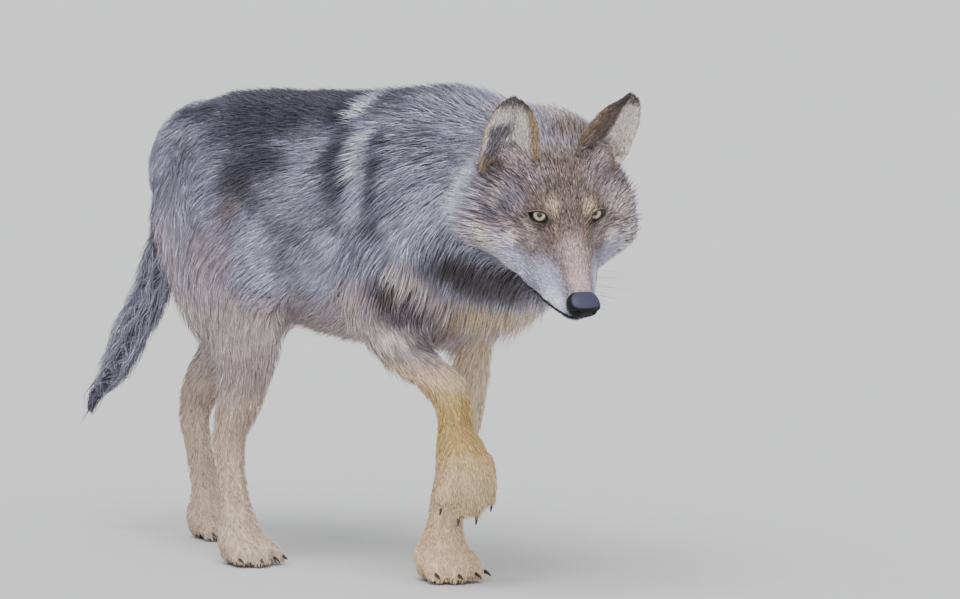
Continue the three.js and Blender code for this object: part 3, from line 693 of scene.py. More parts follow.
BODY_MARKS = (
    # the ground colour, from the belly up to the back
    Mark((0, 0, 330), (2000, 400, 90), Shade.BUFF, 0.9, 0.2),
    Mark((-60, 0, 740), (420, 400, 70), Shade.CHARCOAL, 0.9, 0.5),
    Mark((-300, 0, 730), (230, 400, 100), Shade.CHARCOAL, 0.9, 0.5),
    Mark((200, 0, 640), (150, 300, 130), Shade.GREY, 1.0, 0.5),
    # the saddle and the rump
    Mark(on_body(Spot.SADDLE), (174, 90, 44), Shade.CHARCOAL, 1.0, 0.5),
    Mark(on_body(Spot.SADDLE_SIDE), (116, 70, 32), Shade.CHARCOAL, 0.8, 0.55),
    Mark(on_body(Spot.RUMP_TOP), (56, 70, 28), Shade.CHARCOAL, 0.9, 0.35),
    Mark(on_body(Spot.RUMP_CORNER), (34, 70, 20), Shade.NAVY, 0.8, 0.3),
    Mark((-400, 127, 592), (62, 70, 44), Shade.STEEL, 0.75, 0.45),
    Mark(on_body(Spot.RUMP_LIGHT), (40, 70, 34), Shade.STEEL, 0.7, 0.4),
    Mark((-76, 60, 690), (46, 90, 38), Shade.NAVY, 1.0, 0.2),
    Mark((-24, 133, 624), (34, 60, 44), Shade.NAVY, 0.95, 0.25),
    Mark((-40, 98, 668), (32, 60, 30), Shade.NAVY, 0.9, 0.2),
    Mark((-4, 146, 578), (30, 60, 34), Shade.CHARCOAL, 0.8, 0.25),
    Mark(on_body(Spot.LOIN_DARK), (72, 70, 24), Shade.NAVY, 0.85, 0.25),
    Mark((-262, 128, 570), (58, 70, 40), Shade.UMBER, 0.9, 0.3),
    Mark((-235, 120, 596), (90, 70, 30), Shade.CHARCOAL, 0.8, 0.35),
    Mark((-212, 132, 548), (40, 70, 26), Shade.SLATE, 0.75, 0.3),
    Mark((-160, 134, 512), (40, 70, 22), Shade.STEEL, 0.6, 0.35),
    Mark(on_body(Spot.LOIN_BROWN), (26, 70, 22), Shade.BROWN, 0.75, 0.25),
    # the thigh, the breeches and the flank
    Mark((-440, 120, 430), (90, 70, 80), Shade.MAUVE, 0.7, 0.25),
    Mark(on_body(Spot.THIGH), (70, 70, 54), Shade.MAUVE, 0.85, 0.25),
    Mark(on_body(Spot.THIGH_FRONT), (40, 70, 46), Shade.SILVER, 0.9, 0.3),
    Mark(on_body(Spot.THIGH_FRONT_LOW), (36, 70, 34), Shade.SILVER, 0.85, 0.3),
    Mark(on_body(Spot.FLANK_STREAK), (54, 70, 26), Shade.GREY, 0.75, 0.55),
    Mark(on_body(Spot.FLANK_DARK), (30, 70, 30), Shade.SLATE, 0.75, 0.4),
    Mark(on_body(Spot.FLANK_STEEL), (40, 70, 26), Shade.STEEL, 0.7, 0.4),
    Mark((6, 149, 522), (34, 70, 26), Shade.STEEL, 0.8, 0.35),
    Mark(on_body(Spot.FLANK_PALE), (46, 70, 32), Shade.SILVER, 0.9, 0.25),
    Mark(on_body(Spot.FLANK_PALE_LOW), (56, 70, 26), Shade.SILVER, 0.8, 0.25),
    Mark((-1, 100, 405), (64, 90, 20), Shade.BUFF, 0.85, 0.2),
    # the pale streak behind the shoulder, and the dark band before it
    Mark((-42, 51, 705), (34, 60, 16), Shade.SILVER, 0.9, 0.25),
    Mark((-30, 84, 686), (24, 50, 22), Shade.FROST, 1.0, 0.2),
    Mark(on_body(Spot.STREAK_HIGH), (22, 60, 26), Shade.FROST, 1.0, 0.15),
    Mark(on_body(Spot.STREAK_MIDDLE), (22, 60, 26), Shade.FROST, 1.0, 0.15),
    Mark(on_body(Spot.STREAK_LOW), (22, 60, 26), Shade.SILVER, 0.95, 0.15),
    Mark(on_body(Spot.STREAK_END), (22, 60, 20), Shade.SILVER, 0.8, 0.2),
    Mark(on_body(Spot.BAND_HIGH), (20, 60, 28), Shade.CHARCOAL, 0.85, 0.3),
    Mark(on_body(Spot.BAND_MIDDLE), (21, 60, 28), Shade.CHARCOAL, 0.95, 0.3),
    Mark(on_body(Spot.BAND_LOW), (24, 60, 26), Shade.CHARCOAL, 0.9, 0.3),
    Mark(on_body(Spot.BAND_END), (30, 60, 30), Shade.SLATE, 0.9, 0.35),
    # neck, mane and shoulder
    Mark(on_body(Spot.SHOULDER_TOP), (50, 70, 38), Shade.STEEL, 0.7, 0.55),
    Mark((149, 58, 712), (86, 90, 20), Shade.GREY, 0.8, 0.5),
    Mark((244, 0, 715), (52, 90, 24), Shade.BUFF, 0.6, 0.4),
    Mark(on_body(Spot.NECK_SIDE), (56, 70, 28), Shade.GREY, 0.7, 0.4),
    Mark(on_body(Spot.SHOULDER_PALE), (58, 70, 46), Shade.SILVER, 0.85, 0.35),
    Mark((345, 160, 585), (80, 110, 56), Shade.FROST, 1.0, 0.15),
    Mark((280, 142, 556), (54, 70, 34), Shade.SILVER, 0.9, 0.2),
    Mark((168, 147, 508), (46, 60, 34), Shade.SILVER, 0.75, 0.35),
    Mark((425, 44, 694), (56, 56, 32), Shade.BROWN, 0.95, 0.5),
    Mark((372, 30, 712), (44, 56, 22), Shade.BUFF, 0.85, 0.45),
    # the dark throat, the pale point of the shoulder and the golden chest
    Mark((190, 126, 466), (30, 60, 18), Shade.STEEL, 0.7, 0.3),
    Mark((239, 100, 462), (64, 90, 32), Shade.UMBER, 1.0, 0.25),
    Mark((300, 60, 450), (62, 90, 36), Shade.UMBER, 0.9, 0.3),
    Mark((144, 129, 437), (36, 60, 24), Shade.CREAM, 0.95, 0.2),
    Mark((185, 40, 392), (90, 110, 22), Shade.TAN, 1.0, 0.3),
    Mark((238, 20, 390), (56, 90, 26), Shade.SAND, 0.95, 0.3),
    Mark((288, 0, 398), (30, 60, 16), Shade.CREAM, 0.8, 0.2),
)

HEAD_MARKS = (
    Mark((-20, 0, 0), (170, 200, 120), Shade.BROWN, 1.0, 0.5),
    Mark((-50, 0, 36), (60, 60, 36), Shade.BROWN, 0.9, 0.7),
    Mark((-127, 0, 30), (44, 90, 50), Shade.BUFF, 0.7, 0.45),
    Mark((-36, 84, -2), (34, 30, 24), Shade.MAUVE, 0.6, 0.6),
    Mark(on_head(Spot.FAR_FOREHEAD), (36, 30, 26), Shade.MAUVE, 0.5, 0.75),
    Mark((-88, 76, 26), (26, 26, 22), Shade.BUFF, 0.7, 0.4),
    Mark((-88, 107, 8), (18, 18, 16), Shade.OCHRE, 0.8, 0.3),
    # cheeks and jaw
    Mark((-30, 112, -60), (50, 50, 46), Shade.MAUVE, 0.7, 0.5),
    Mark(on_head(Spot.CHEEK), (28, 36, 24), Shade.SILVER, 0.9, 0.2),
    Mark((6, 104, -60), (18, 30, 14), Shade.CREAM, 0.7, 0.2),
    Mark((30, 72, -72), (46, 36, 30), Shade.SILVER, 0.95, 0.15),
    Mark((6, 70, -100), (50, 40, 34), Shade.CREAM, 0.8, 0.15),
    Mark((-50, 76, -126), (44, 60, 30), Shade.STEEL, 0.7, 0.25),
    Mark((17, 54, -26), (24, 18, 15), Shade.BUFF, 0.55, 0.4),
    # the dark wedge from the eye back over the cheek
    Mark(on_head(Spot.FAR_RUFF), (36, 36, 36), Shade.BUFF, 0.75, 0.6),
    Mark((-21, -90, -8), (26, 22, 15), Shade.SLATE, 0.85, 0.4),
    Mark((-24, -112, -28), (24, 26, 15), Shade.SLATE, 0.85, 0.35),
    Mark(on_head(Spot.TEMPLE, both=False), (22, 20, 16), Shade.STEEL, 0.6, 0.45),
    # brows, bridge and muzzle
    Mark((-2, 29, 20), (17, 14, 13), Shade.SAND, 0.55, 0.6),
    Mark((4, 60, -14), (9, 11, 8), Shade.CREAM, 0.5, 0.3),
    Mark((12, 80, -38), (18, 14, 16), Shade.IVORY, 0.75, 0.2),
    Mark((2, 118, -66), (36, 28, 30), Shade.CREAM, 0.75, 0.5),
    Mark((66, 0, -12), (52, 26, 24), Shade.PINK, 0.8, 0.4),
    Mark((104, 0, -16), (26, 22, 18), Shade.PINK, 0.95, 0.15),
    Mark((31, 23, -5), (17, 6, 9), Shade.RUST, 0.6, 0.3),
    Mark((84, 40, -46), (46, 22, 26), Shade.SILVER, 0.95, 0.12),
    Mark((110, 30, -58), (30, 24, 22), Shade.FROST, 0.85, 0.1),
    Mark((60, 0, -100), (110, 40, 24), Shade.CREAM, 0.9, 0.12),
)


def patch_weight(points: np.ndarray, mark: Mark) -> np.ndarray:
    """How far each point lies inside a patch, from 0 to 1; one with Y below 0 is on the right side only.

    Args:
        points: places in the patch's frame.
        mark: the patch.

    Returns:
        One share a point.
    """
    p = points.copy()
    if mark.at[1] >= 0:
        p[:, 1] = np.abs(p[:, 1])
    d = ((p - np.array(mark.at, float)) / np.array(mark.size, float)) ** 2
    return mark.amount * (1 - smooth(0.35, 1.25, np.sqrt(d.sum(1))))


PLAIN = ((0, 0, 0), (1, 1, 1))  # a mark that covers all it is laid on
Lay = Callable[[np.ndarray, Mark], None]


# painted light: how much each zone's shades are brightened, to stand in for the light that the tufts' shade
# on one another takes away, in the order of the zones' values
ZONE_PAINTED_LIGHT = (1.45, 1.25, 1.25, 1.35, 1.35, 1.3, 1.3, 1.15, 1.25)


@dataclass
class Markings:
    """The colours of skin and coat, by place on the animal, brightened zone by zone as painted light."""

    painted_light_gain: np.ndarray = field(default_factory=lambda: np.array(ZONE_PAINTED_LIGHT))
    broad: Mottle = field(default_factory=lambda: Mottle(11, 46.0))
    fine: Mottle = field(default_factory=lambda: Mottle(12, 15.0))

    def at(self, points: np.ndarray, zones: np.ndarray, normals: np.ndarray) -> tuple[np.ndarray, np.ndarray]:
        """Reads the coat's colour.

        Args:
            points: body millimetres.
            zones: each point's zone value.
            normals: the way the surface faces at each point.

        Returns:
            The colour in linear light, brightened by its zone's painted light, and how much tufts vary there.
        """
        n = len(points)
        drift = np.stack([self.fine.at(points + k * 700) for k in (1, 2, 3)], 1)
        p = points + 3.5 * drift + 6 * np.stack([self.broad.at(points + k * 900) for k in (1, 2, 3)], 1)
        colour = np.tile(shade(Shade.GREY.value), (n, 1))
        ticks = np.full(n, 0.4)

        def lay(weight: np.ndarray, mark: Mark) -> None:
            w = np.clip(weight, 0, 1)[:, None]
            colour[:] = colour * (1 - w) + w * shade(mark.shade.value)
            ticks[:] = ticks * (1 - w[:, 0]) + w[:, 0] * mark.ticks

        for mark in BODY_MARKS:
            lay(patch_weight(p, mark), mark)
        self.legs(p, zones, lay)
        self.tail(p, zones, lay)
        local = to_head(points) + 2.2 * drift
        facial = np.isin(zones, (Zone.HEAD.value, Zone.EAR_LEFT.value, Zone.EAR_RIGHT.value))
        near = facial * smooth(-135, -85, local[:, 0])
        for mark in HEAD_MARKS:
            lay(patch_weight(local, mark) * near, mark)
        for lift in (2.0, 6.0):
            lay(near * lips_share(to_head(points) - np.array([0, 0, lift])), Mark(*PLAIN, Shade.INK, 1, 0.05))
        for side, zone in ((1, Zone.EAR_LEFT), (-1, Zone.EAR_RIGHT)):
            self.ear(to_head(points), zones == zone.value, normals, side, lay)
        # painted light: each zone's colours are brightened by its own gain
        return np.clip(colour * self.painted_light_gain[zones][:, None], 0, 0.95), ticks

    def legs(self, p: np.ndarray, zones: np.ndarray, lay: "Lay") -> None:
        """Colours the legs from the elbow and stifle down; the left foreleg is painted paler than the right
        as painted light.
        """
        z = p[:, 2]
        for zone in (Zone.HIND_RIGHT, Zone.HIND_LEFT):
            own = (zones == zone.value).astype(float)
            lay(own * smooth(440, 330, z) * 0.85, Mark(*PLAIN, Shade.BUFF, 1, 0.2))
            lay(own * smooth(300, 180, z) * 0.6, Mark(*PLAIN, Shade.SAND, 1, 0.12))
        # painted light: the left foreleg is painted peach, paler than the right one, as the warm light it
        # catches
        left = (zones == Zone.FORE_LEFT.value).astype(float)
        lay(left * smooth(440, 390, z), Mark(*PLAIN, Shade.PAINTED_LIGHT_PEACH, 1, 0.2))
        lay(left * smooth(240, 150, z) * 0.85, Mark(*PLAIN, Shade.SAND, 1, 0.12))
        right = (zones == Zone.FORE_RIGHT.value).astype(float)
        lay(right * smooth(450, 400, z), Mark(*PLAIN, Shade.BUFF, 1, 0.35))
        lay(right * smooth(330, 305, z), Mark(*PLAIN, Shade.SAND, 1, 0.15))
        lay(right * smooth(300, 262, z) * 0.85, Mark(*PLAIN, Shade.GOLD, 1, 0.15))
        lay(right * smooth(215, 150, z) * 0.8, Mark(*PLAIN, Shade.SAND, 1, 0.12))
        for at, size, tone, amount in (
            ((88, -126, 412), (40, 60, 26), Shade.UMBER, 1.0),
            ((120, -98, 385), (44, 60, 18), Shade.SLATE, 0.8),
            ((142, -80, 352), (30, 60, 16), Shade.SLATE, 0.75),
            ((93, -115, 352), (30, 60, 14), Shade.CREAM, 0.8),
            ((52, -130, 390), (22, 60, 26), Shade.MAUVE, 0.8),
        ):
            lay(right * patch_weight(p, Mark(at, size, tone)) * amount, Mark(at, size, tone, 1, 0.3))

    def tail(self, p: np.ndarray, zones: np.ndarray, lay: "Lay") -> None:
        """Colours the tail: grey, darker behind and at the tip."""
        own = (zones == Zone.TAIL.value).astype(float)
        lay(own * smooth(620, 520, p[:, 2]), Mark(*PLAIN, Shade.GREY, 1, 0.35))
        behind = smooth(-20, 22, -(p[:, 0] + 585 + (440 - p[:, 2]) * 0.72) - 8)
        lay(own * behind * 0.8, Mark(*PLAIN, Shade.STEEL, 1, 0.4))
        lay(own * smooth(235, 180, p[:, 2]) * 0.9, Mark(*PLAIN, Shade.CHARCOAL, 1, 0.3))

    def ear(self, local: np.ndarray, own: np.ndarray, normals: np.ndarray, side: int, lay: "Lay") -> None:
        """Colours one ear: pale and hairy inside, the left one paler still as painted light, tan and brown at
        the rim and on the back.
        """
        root, axes = ear_frame(side)
        q = (local - root) @ axes.T
        v = np.clip(q[:, 2] / EAR_HEIGHT, 0, 1.05)
        half = EAR_WIDTH / 2 * np.sqrt(np.maximum(0.012, 1 - np.minimum(v, 1) ** 3.2))
        inner = q[:, 1] * np.sign(-EAR_ROOT[1] * side) / half
        front = (normals @ (HEAD_TURN @ axes[0])) > 0
        keep = own.astype(float)
        lay(keep * ~front, Mark(*PLAIN, Shade.BROWN, 1, 0.3))
        lay(keep * ~front * smooth(0.45, 0.0, v) * 0.8, Mark(*PLAIN, Shade.TAN, 1, 0.3))
        # painted light: the left ear's inside is ivory, paler than the right ear's cream; the pale hair is
        # its own colour, the extra paleness is painted light
        lay(keep * front, Mark(*PLAIN, Shade.IVORY if side > 0 else Shade.CREAM, 1, 0.25))
        dark = smooth(-0.3, 0.4, self.broad.at(local * 2.3) * 0.8) * smooth(-0.95, -0.7, inner)
        amount = 0.85 if side < 0 else 0.15
        lay(keep * front * dark * smooth(0.3, -0.15, inner) * amount, Mark(*PLAIN, Shade.SLATE, 1, 0.5))
        if side > 0:
            fold = smooth(-0.05, 0.2, inner)
            lay(keep * fold, Mark(*PLAIN, Shade.BROWN, 1, 0.35))
            lay(keep * fold * smooth(0.8, 1.0, inner) * 0.4, Mark(*PLAIN, Shade.OCHRE, 1, 0.3))
            lay(keep * front * smooth(0.86, 0.97, -inner) * 0.5, Mark(*PLAIN, Shade.OCHRE, 1, 0.25))
        else:
            rim = np.maximum(smooth(0.52, 0.72, inner), smooth(0.84, 0.97, -inner))
            lay(keep * rim * 0.9, Mark(*PLAIN, Shade.OCHRE, 1, 0.25))
            lay(
                keep * smooth(0.35, 0.1, v) * smooth(0.3, 0.7, -inner) * 0.8,
                Mark(*PLAIN, Shade.OCHRE, 1, 0.3),
            )
        lay(keep * smooth(0.82, 0.95, v) * 0.9, Mark(*PLAIN, Shade.UMBER, 1, 0.3))


# ------------------------------------------------------------------ finishes


def group_with(
    name: str, inputs: dict[str, tuple[str, float]], outputs: dict[str, str]
) -> bpy.types.NodeTree:
    """A new shader node group with named sockets.

    Args:
        name: the group's name.
        inputs: socket names with their kinds and starting values.
        outputs: socket names with their kinds.

    Returns:
        The group, with its input and output nodes named "in" and "out".
    """
    tree = bpy.data.node_groups.new(name, "ShaderNodeTree")
    for key, (kind, value) in inputs.items():
        socket = tree.interface.new_socket(key, in_out="INPUT", socket_type=kind)
        if kind == "NodeSocketFloat":
            socket.default_value = value
    for key, kind in outputs.items():
        tree.interface.new_socket(key, in_out="OUTPUT", socket_type=kind)
    tree.nodes.new("NodeGroupInput").name = "in"
    tree.nodes.new("NodeGroupOutput").name = "out"
    return tree


def strands_group() -> bpy.types.NodeTree:
    """Fine hairs that vary a colour and raise the surface, shared by skin and coat."""
    tree = group_with(
        "strands",
        {
            "Colour": ("NodeSocketColor", 0),
            "Scale": ("NodeSocketFloat", 900.0),
            "Depth": ("NodeSocketFloat", 0.2),
        },
        {"Colour": "NodeSocketColor", "Height": "NodeSocketFloat"},
    )
    n, link = tree.nodes, tree.links.new
    place = n.new("ShaderNodeTexCoord")
    noise = n.new("ShaderNodeTexNoise")
    noise.inputs["Detail"].default_value = 3.0
    noise.inputs["Roughness"].default_value = 0.6
    low = n.new("ShaderNodeMath")
    low.operation = "SUBTRACT"
    low.inputs[0].default_value = 1.0
    high = n.new("ShaderNodeMath")
    high.operation = "ADD"
    high.inputs[0].default_value = 1.0
    span = n.new("ShaderNodeMapRange")
    span.inputs["From Min"].default_value = 0.3
    span.inputs["From Max"].default_value = 0.7
    tint = n.new("ShaderNodeVectorMath")
    tint.operation = "SCALE"
    link(place.outputs["Object"], noise.inputs["Vector"])
    link(n["in"].outputs["Scale"], noise.inputs["Scale"])
    link(n["in"].outputs["Depth"], low.inputs[1])
    link(n["in"].outputs["Depth"], high.inputs[1])
    link(noise.outputs["Fac"], span.inputs["Value"])
    link(low.outputs[0], span.inputs["To Min"])
    link(high.outputs[0], span.inputs["To Max"])
    link(n["in"].outputs["Colour"], tint.inputs[0])
    link(span.outputs["Result"], tint.inputs["Scale"])
    link(tint.outputs["Vector"], n["out"].inputs["Colour"])
    link(noise.outputs["Fac"], n["out"].inputs["Height"])
    return tree


@dataclass(frozen=True)
class CoatFinish:
    """Hair: the attribute's colour, broken up by fine strands.

    Attributes:
        name: the material's name.
        roughness: how dull it is.
        sheen: the soft light that hair gives at its edges.
        scale: strands to the metre.
        depth: how far strands vary the colour.
        bump: how high they stand.
    """

    name: str
    roughness: float = 0.72
    sheen: float = 0.12
    scale: float = 700.0
    depth: float = 0.18
    bump: float = 0.25

    def build(self, strands: bpy.types.NodeTree) -> bpy.types.Material:
        """Makes the material.

        Args:
            strands: the group of fine hairs.

        Returns:
            The material.
        """
        mat = bpy.data.materials.new(self.name)
        mat.use_nodes = True
        n, link = mat.node_tree.nodes, mat.node_tree.links.new
        skin = n["Principled BSDF"]
        colour = n.new("ShaderNodeAttribute")
        colour.attribute_name = "coat"
        hairs = n.new("ShaderNodeGroup")
        hairs.node_tree = strands
        hairs.inputs["Scale"].default_value = self.scale
        hairs.inputs["Depth"].default_value = self.depth
        bump = n.new("ShaderNodeBump")
        bump.inputs["Strength"].default_value = self.bump
        bump.inputs["Distance"].default_value = 0.0006
        link(colour.outputs["Color"], hairs.inputs["Colour"])
        link(hairs.outputs["Colour"], skin.inputs["Base Color"])
        link(hairs.outputs["Height"], bump.inputs["Height"])
        link(bump.outputs["Normal"], skin.inputs["Normal"])
        skin.inputs["Roughness"].default_value = self.roughness
        skin.inputs["Specular IOR Level"].default_value = 0.25
        skin.inputs["Sheen Weight"].default_value = self.sheen
        skin.inputs["Sheen Roughness"].default_value = 0.5
        return mat


@dataclass(frozen=True)
class HornFinish:
    """Claw: dark horn, mottled a little paler by fine noise, with a matching fine bump."""

    name: str = "claw"
    dark: str = "17151a"
    pale: str = "4c4440"

    def build(self) -> bpy.types.Material:
        """Makes the material."""
        mat = bpy.data.materials.new(self.name)
        mat.use_nodes = True
        n, link = mat.node_tree.nodes, mat.node_tree.links.new
        horn = n["Principled BSDF"]
        place = n.new("ShaderNodeTexCoord")
        noise = n.new("ShaderNodeTexNoise")
        noise.inputs["Scale"].default_value = 260.0
        noise.inputs["Detail"].default_value = 4.0
        ramp = n.new("ShaderNodeValToRGB")
        ramp.color_ramp.elements[0].position = 0.35
        ramp.color_ramp.elements[0].color = (*shade(self.dark), 1)
        ramp.color_ramp.elements[1].position = 0.75
        ramp.color_ramp.elements[1].color = (*shade(self.pale), 1)
        bump = n.new("ShaderNodeBump")
        bump.inputs["Strength"].default_value = 0.3
        bump.inputs["Distance"].default_value = 0.0003
        link(place.outputs["Object"], noise.inputs["Vector"])
        link(noise.outputs["Fac"], ramp.inputs["Fac"])
        link(ramp.outputs["Color"], horn.inputs["Base Color"])
        link(noise.outputs["Fac"], bump.inputs["Height"])
        link(bump.outputs["Normal"], horn.inputs["Normal"])
        horn.inputs["Roughness"].default_value = 0.38
        return mat


@dataclass(frozen=True)
class NoseFinish:
    """Nose pad: near black, pebbled, damp, with a painted sheen: slate painted on what faces up, as the sky's
    reflection.
    """

    name: str = "nose_pad"
    dark: str = "0b0a0b"
    painted_sky_sheen: str = "3b3a4e"

    def build(self) -> bpy.types.Material:
        """Makes the material."""
        mat = bpy.data.materials.new(self.name)
        mat.use_nodes = True
        n, link = mat.node_tree.nodes, mat.node_tree.links.new
        pad = n["Principled BSDF"]
        place = n.new("ShaderNodeTexCoord")
        cells = n.new("ShaderNodeTexVoronoi")
        cells.inputs["Scale"].default_value = 620.0
        cells.feature = "SMOOTH_F1"
        # painted reflection: this attribute mixes slate in where the pad faces up, as the sky's sheen
        top = n.new("ShaderNodeAttribute")
        top.attribute_name = "painted_sky_sheen"
        colours = n.new("ShaderNodeMix")
        colours.data_type = "RGBA"
        colours.inputs["A"].default_value = (*shade(self.dark), 1)
        colours.inputs["B"].default_value = (*shade(self.painted_sky_sheen), 1)
        bump = n.new("ShaderNodeBump")
        bump.inputs["Strength"].default_value = 0.7
        bump.inputs["Distance"].default_value = 0.0005
        link(place.outputs["Object"], cells.inputs["Vector"])
        link(top.outputs["Fac"], colours.inputs["Factor"])
        link(colours.outputs["Result"], pad.inputs["Base Color"])
        link(cells.outputs["Distance"], bump.inputs["Height"])
        link(bump.outputs["Normal"], pad.inputs["Normal"])
        pad.inputs["Roughness"].default_value = 0.5
        pad.inputs["Specular IOR Level"].default_value = 0.2
        pad.inputs["Coat Weight"].default_value = 0.05
        pad.inputs["Coat Roughness"].default_value = 0.3
        return mat


@dataclass(frozen=True)
class EyeFinish:
    """Eye: dark pupil, pale yellow iris with fibres and a dark ring, under a wet coat."""

    name: str = "eye"

    def build(self) -> bpy.types.Material:
        """Makes the material from the angle off the gaze, kept as the attribute "polar"."""
        mat = bpy.data.materials.new(self.name)
        mat.use_nodes = True
        n, link = mat.node_tree.nodes, mat.node_tree.links.new
        eye = n["Principled BSDF"]
        polar = n.new("ShaderNodeAttribute")
        polar.attribute_name = "polar"
        fibres = n.new("ShaderNodeAttribute")
        fibres.attribute_name = "fibre"
        ramp = n.new("ShaderNodeValToRGB")
        stops = (
            (0.0, "050505"), (0.128, "060606"), (0.150, "453a28"), (0.19, "857863"), (0.27, "a69c88"),
            (0.36, "93866f"), (0.41, "564936"), (0.450, "110e0d"), (0.60, "120e0d"),
            (0.75, "3a2b27"), (1.0, "4b3833"),
        )
        ramp.color_ramp.elements.remove(ramp.color_ramp.elements[1])
        for i, (at, code) in enumerate(stops):
            e = ramp.color_ramp.elements[0] if i == 0 else ramp.color_ramp.elements.new(at)
            e.position = at
            e.color = (*shade(code), 1)
        tint = n.new("ShaderNodeVectorMath")
        tint.operation = "SCALE"
        link(polar.outputs["Fac"], ramp.inputs["Fac"])
        link(ramp.outputs["Color"], tint.inputs[0])
        link(fibres.outputs["Fac"], tint.inputs["Scale"])
        link(tint.outputs["Vector"], eye.inputs["Base Color"])
        eye.inputs["Roughness"].default_value = 0.5
        eye.inputs["Specular IOR Level"].default_value = 0.15
        eye.inputs["Coat Weight"].default_value = 0.7
        eye.inputs["Coat Roughness"].default_value = 0.03
        return mat


# ------------------------------------------------------------------ the skin


@dataclass
class Skin:
    """One skin over the trunk, neck, head, ears, legs, paws and tail, sunk by the coat's depth.

    Attributes:
        voxel: the first mesh's cell, in metres.
        body_share: the share of the body's faces that is kept, as the coat hides them.
    """

    comb: Comb
    markings: Markings
    voxel: float = 0.004
    body_share: float = 0.36
    flesh: tuple[str, ...] = tuple(NODE_ZONES)
    obj: bpy.types.Object = field(init=False)

    def zones_near(self, points: np.ndarray) -> np.ndarray:
        """The zone value of the solid nearest to each row-frame point."""
        out = np.empty(len(points), int)
        find = self.tree.find_nearest
        for i, p in enumerate(points):
            out[i] = self.face_zone[find(Vector(p))[2]]
        return out

    def zone_tree(self) -> None:
        """Keeps a search tree of the solids of flesh with each face's zone."""
        verts, faces, zone = [], [], []
        base = 0
        for name, which in NODE_ZONES.items():
            o = frame["nodes"][name]
            tris = triangles_of(o)
            verts.append(points_of(o))
            faces.append(tris + base)
            zone += [which.value] * len(tris)
            base += len(o.data.vertices)
        self.face_zone = np.array(zone)
        self.tree = BVHTree.FromPolygons(np.concatenate(verts).tolist(), np.concatenate(faces).tolist())

    def build(self) -> bpy.types.Object:
        """Makes the skin.

        Returns:
            The skin's object.
        """
        self.zone_tree()
        ears = node_copy("ear_left", "ear_right")
        put_points(ears, points_of(ears) + normals_of(ears) * 1.3 * MM)
        rest = node_copy(*[n for n in self.flesh if not n.startswith("ear")], "eye_left", "eye_right")
        only(rest, ears)
        bpy.ops.object.join()
        self.obj = bpy.context.view_layer.objects.active
        self.obj.name = "skin"
        self.obj.data.name = "skin"
        apply_modifier(self.obj, "REMESH", mode="VOXEL", voxel_size=self.voxel)
        self.drop_specks()
        self.even_out()
        self.thin_body()
        self.finer_face()
        self.sink()
        self.shape_face()
        return self.obj

    def drop_specks(self) -> None:
        """Deletes stray inner shells left by the remesh."""
        edges = edges_of(self.obj)
        label = np.arange(len(self.obj.data.vertices))
        while True:
            low = np.minimum(label[edges[:, 0]], label[edges[:, 1]])
            new = label.copy()
            np.minimum.at(new, edges[:, 0], low)
            np.minimum.at(new, edges[:, 1], low)
            new = new[new]
            if (new == label).all():
                break
            label = new
        main = np.bincount(label).argmax()
        self.obj.data.vertices.foreach_set("select", label != main)
        self.obj.data.edges.foreach_set("select", np.zeros(len(self.obj.data.edges), bool))
        self.obj.data.polygons.foreach_set("select", np.zeros(len(self.obj.data.polygons), bool))
        only(self.obj)
        bpy.ops.object.mode_set(mode="EDIT")
        bpy.ops.mesh.select_mode(type="VERT")
        bpy.ops.mesh.delete(type="VERT")
        bpy.ops.object.mode_set(mode="OBJECT")

    def even_out(self) -> None:
        """Rounds the facets away: much on the body, less on limbs and head, least on ears and feet."""
        co = points_of(self.obj)
        zones = self.zones_near(co)
        place = body(co)
        weight = np.full(len(co), 1.0)
        head = zones == Zone.HEAD.value
        weight[head] = 0.3 + 0.7 * smooth(-20, -65, to_head(place[head])[:, 0])
        weight[np.isin(zones, (Zone.EAR_LEFT.value, Zone.EAR_RIGHT.value))] = 0.03
        limbs = np.isin(zones, [z.value for z in LEG_ZONES])
        weight[limbs] = 0.15 + 0.6 * smooth(280, 420, place[limbs, 2])
        feet = limbs & (place[:, 2] < 75)
        weight[feet] = 0.06
        edges = edges_of(self.obj)
        weight = relax(weight, edges, 12)
        co = relax(co, edges, 55, weight, back=0.9)
        co = relax(co, edges, 3, np.minimum(1, weight * 3), back=0.9)
        put_points(self.obj, co)

    def select_faces(self, chosen: np.ndarray) -> None:
        """Selects faces all of whose corners are chosen, and enters edit mode."""
        mesh = self.obj.data
        starts = np.empty(len(mesh.polygons), np.int32)
        totals = np.empty(len(mesh.polygons), np.int32)
        corners = np.empty(len(mesh.loops), np.int32)
        mesh.polygons.foreach_get("loop_start", starts)
        mesh.polygons.foreach_get("loop_total", totals)
        mesh.loops.foreach_get("vertex_index", corners)
        hit = np.add.reduceat(chosen[corners].astype(int), starts) == totals
        only(self.obj)
        bpy.ops.object.mode_set(mode="EDIT")
        bpy.ops.mesh.select_mode(type="FACE")
        bpy.ops.mesh.select_all(action="DESELECT")
        bpy.ops.object.mode_set(mode="OBJECT")
        mesh.polygons.foreach_set("select", hit)
        bpy.ops.object.mode_set(mode="EDIT")

    def head_share(self) -> np.ndarray:
        """1 on the face and ears, falling to 0 on the neck, a value a vertex."""
        local = to_head(body(points_of(self.obj)))
        reach = np.sqrt((local[:, 0] / 200) ** 2 + (local[:, 1] / 140) ** 2 + ((local[:, 2] + 10) / 150) ** 2)
        return (1 - smooth(0.8, 1.1, reach)) * smooth(-150, -95, local[:, 0])

    def thin_body(self) -> None:
        """Keeps fewer faces where the coat hides the skin."""
        share = self.head_share()
        co = body(points_of(self.obj))
        feet = smooth(110, 80, co[:, 2])
        group = self.obj.vertex_groups.new(name="thin")
        free = np.clip(1 - share - feet, 0, 1)
        for level in (0.5, 1.0):
            index = np.where(np.round(free * 2) / 2 == level)[0]
            group.add(index.tolist(), level, "REPLACE")
        apply_modifier(
            self.obj, "DECIMATE", ratio=self.body_share, vertex_group="thin", use_collapse_triangulate=True
        )
        self.obj.vertex_groups.clear()

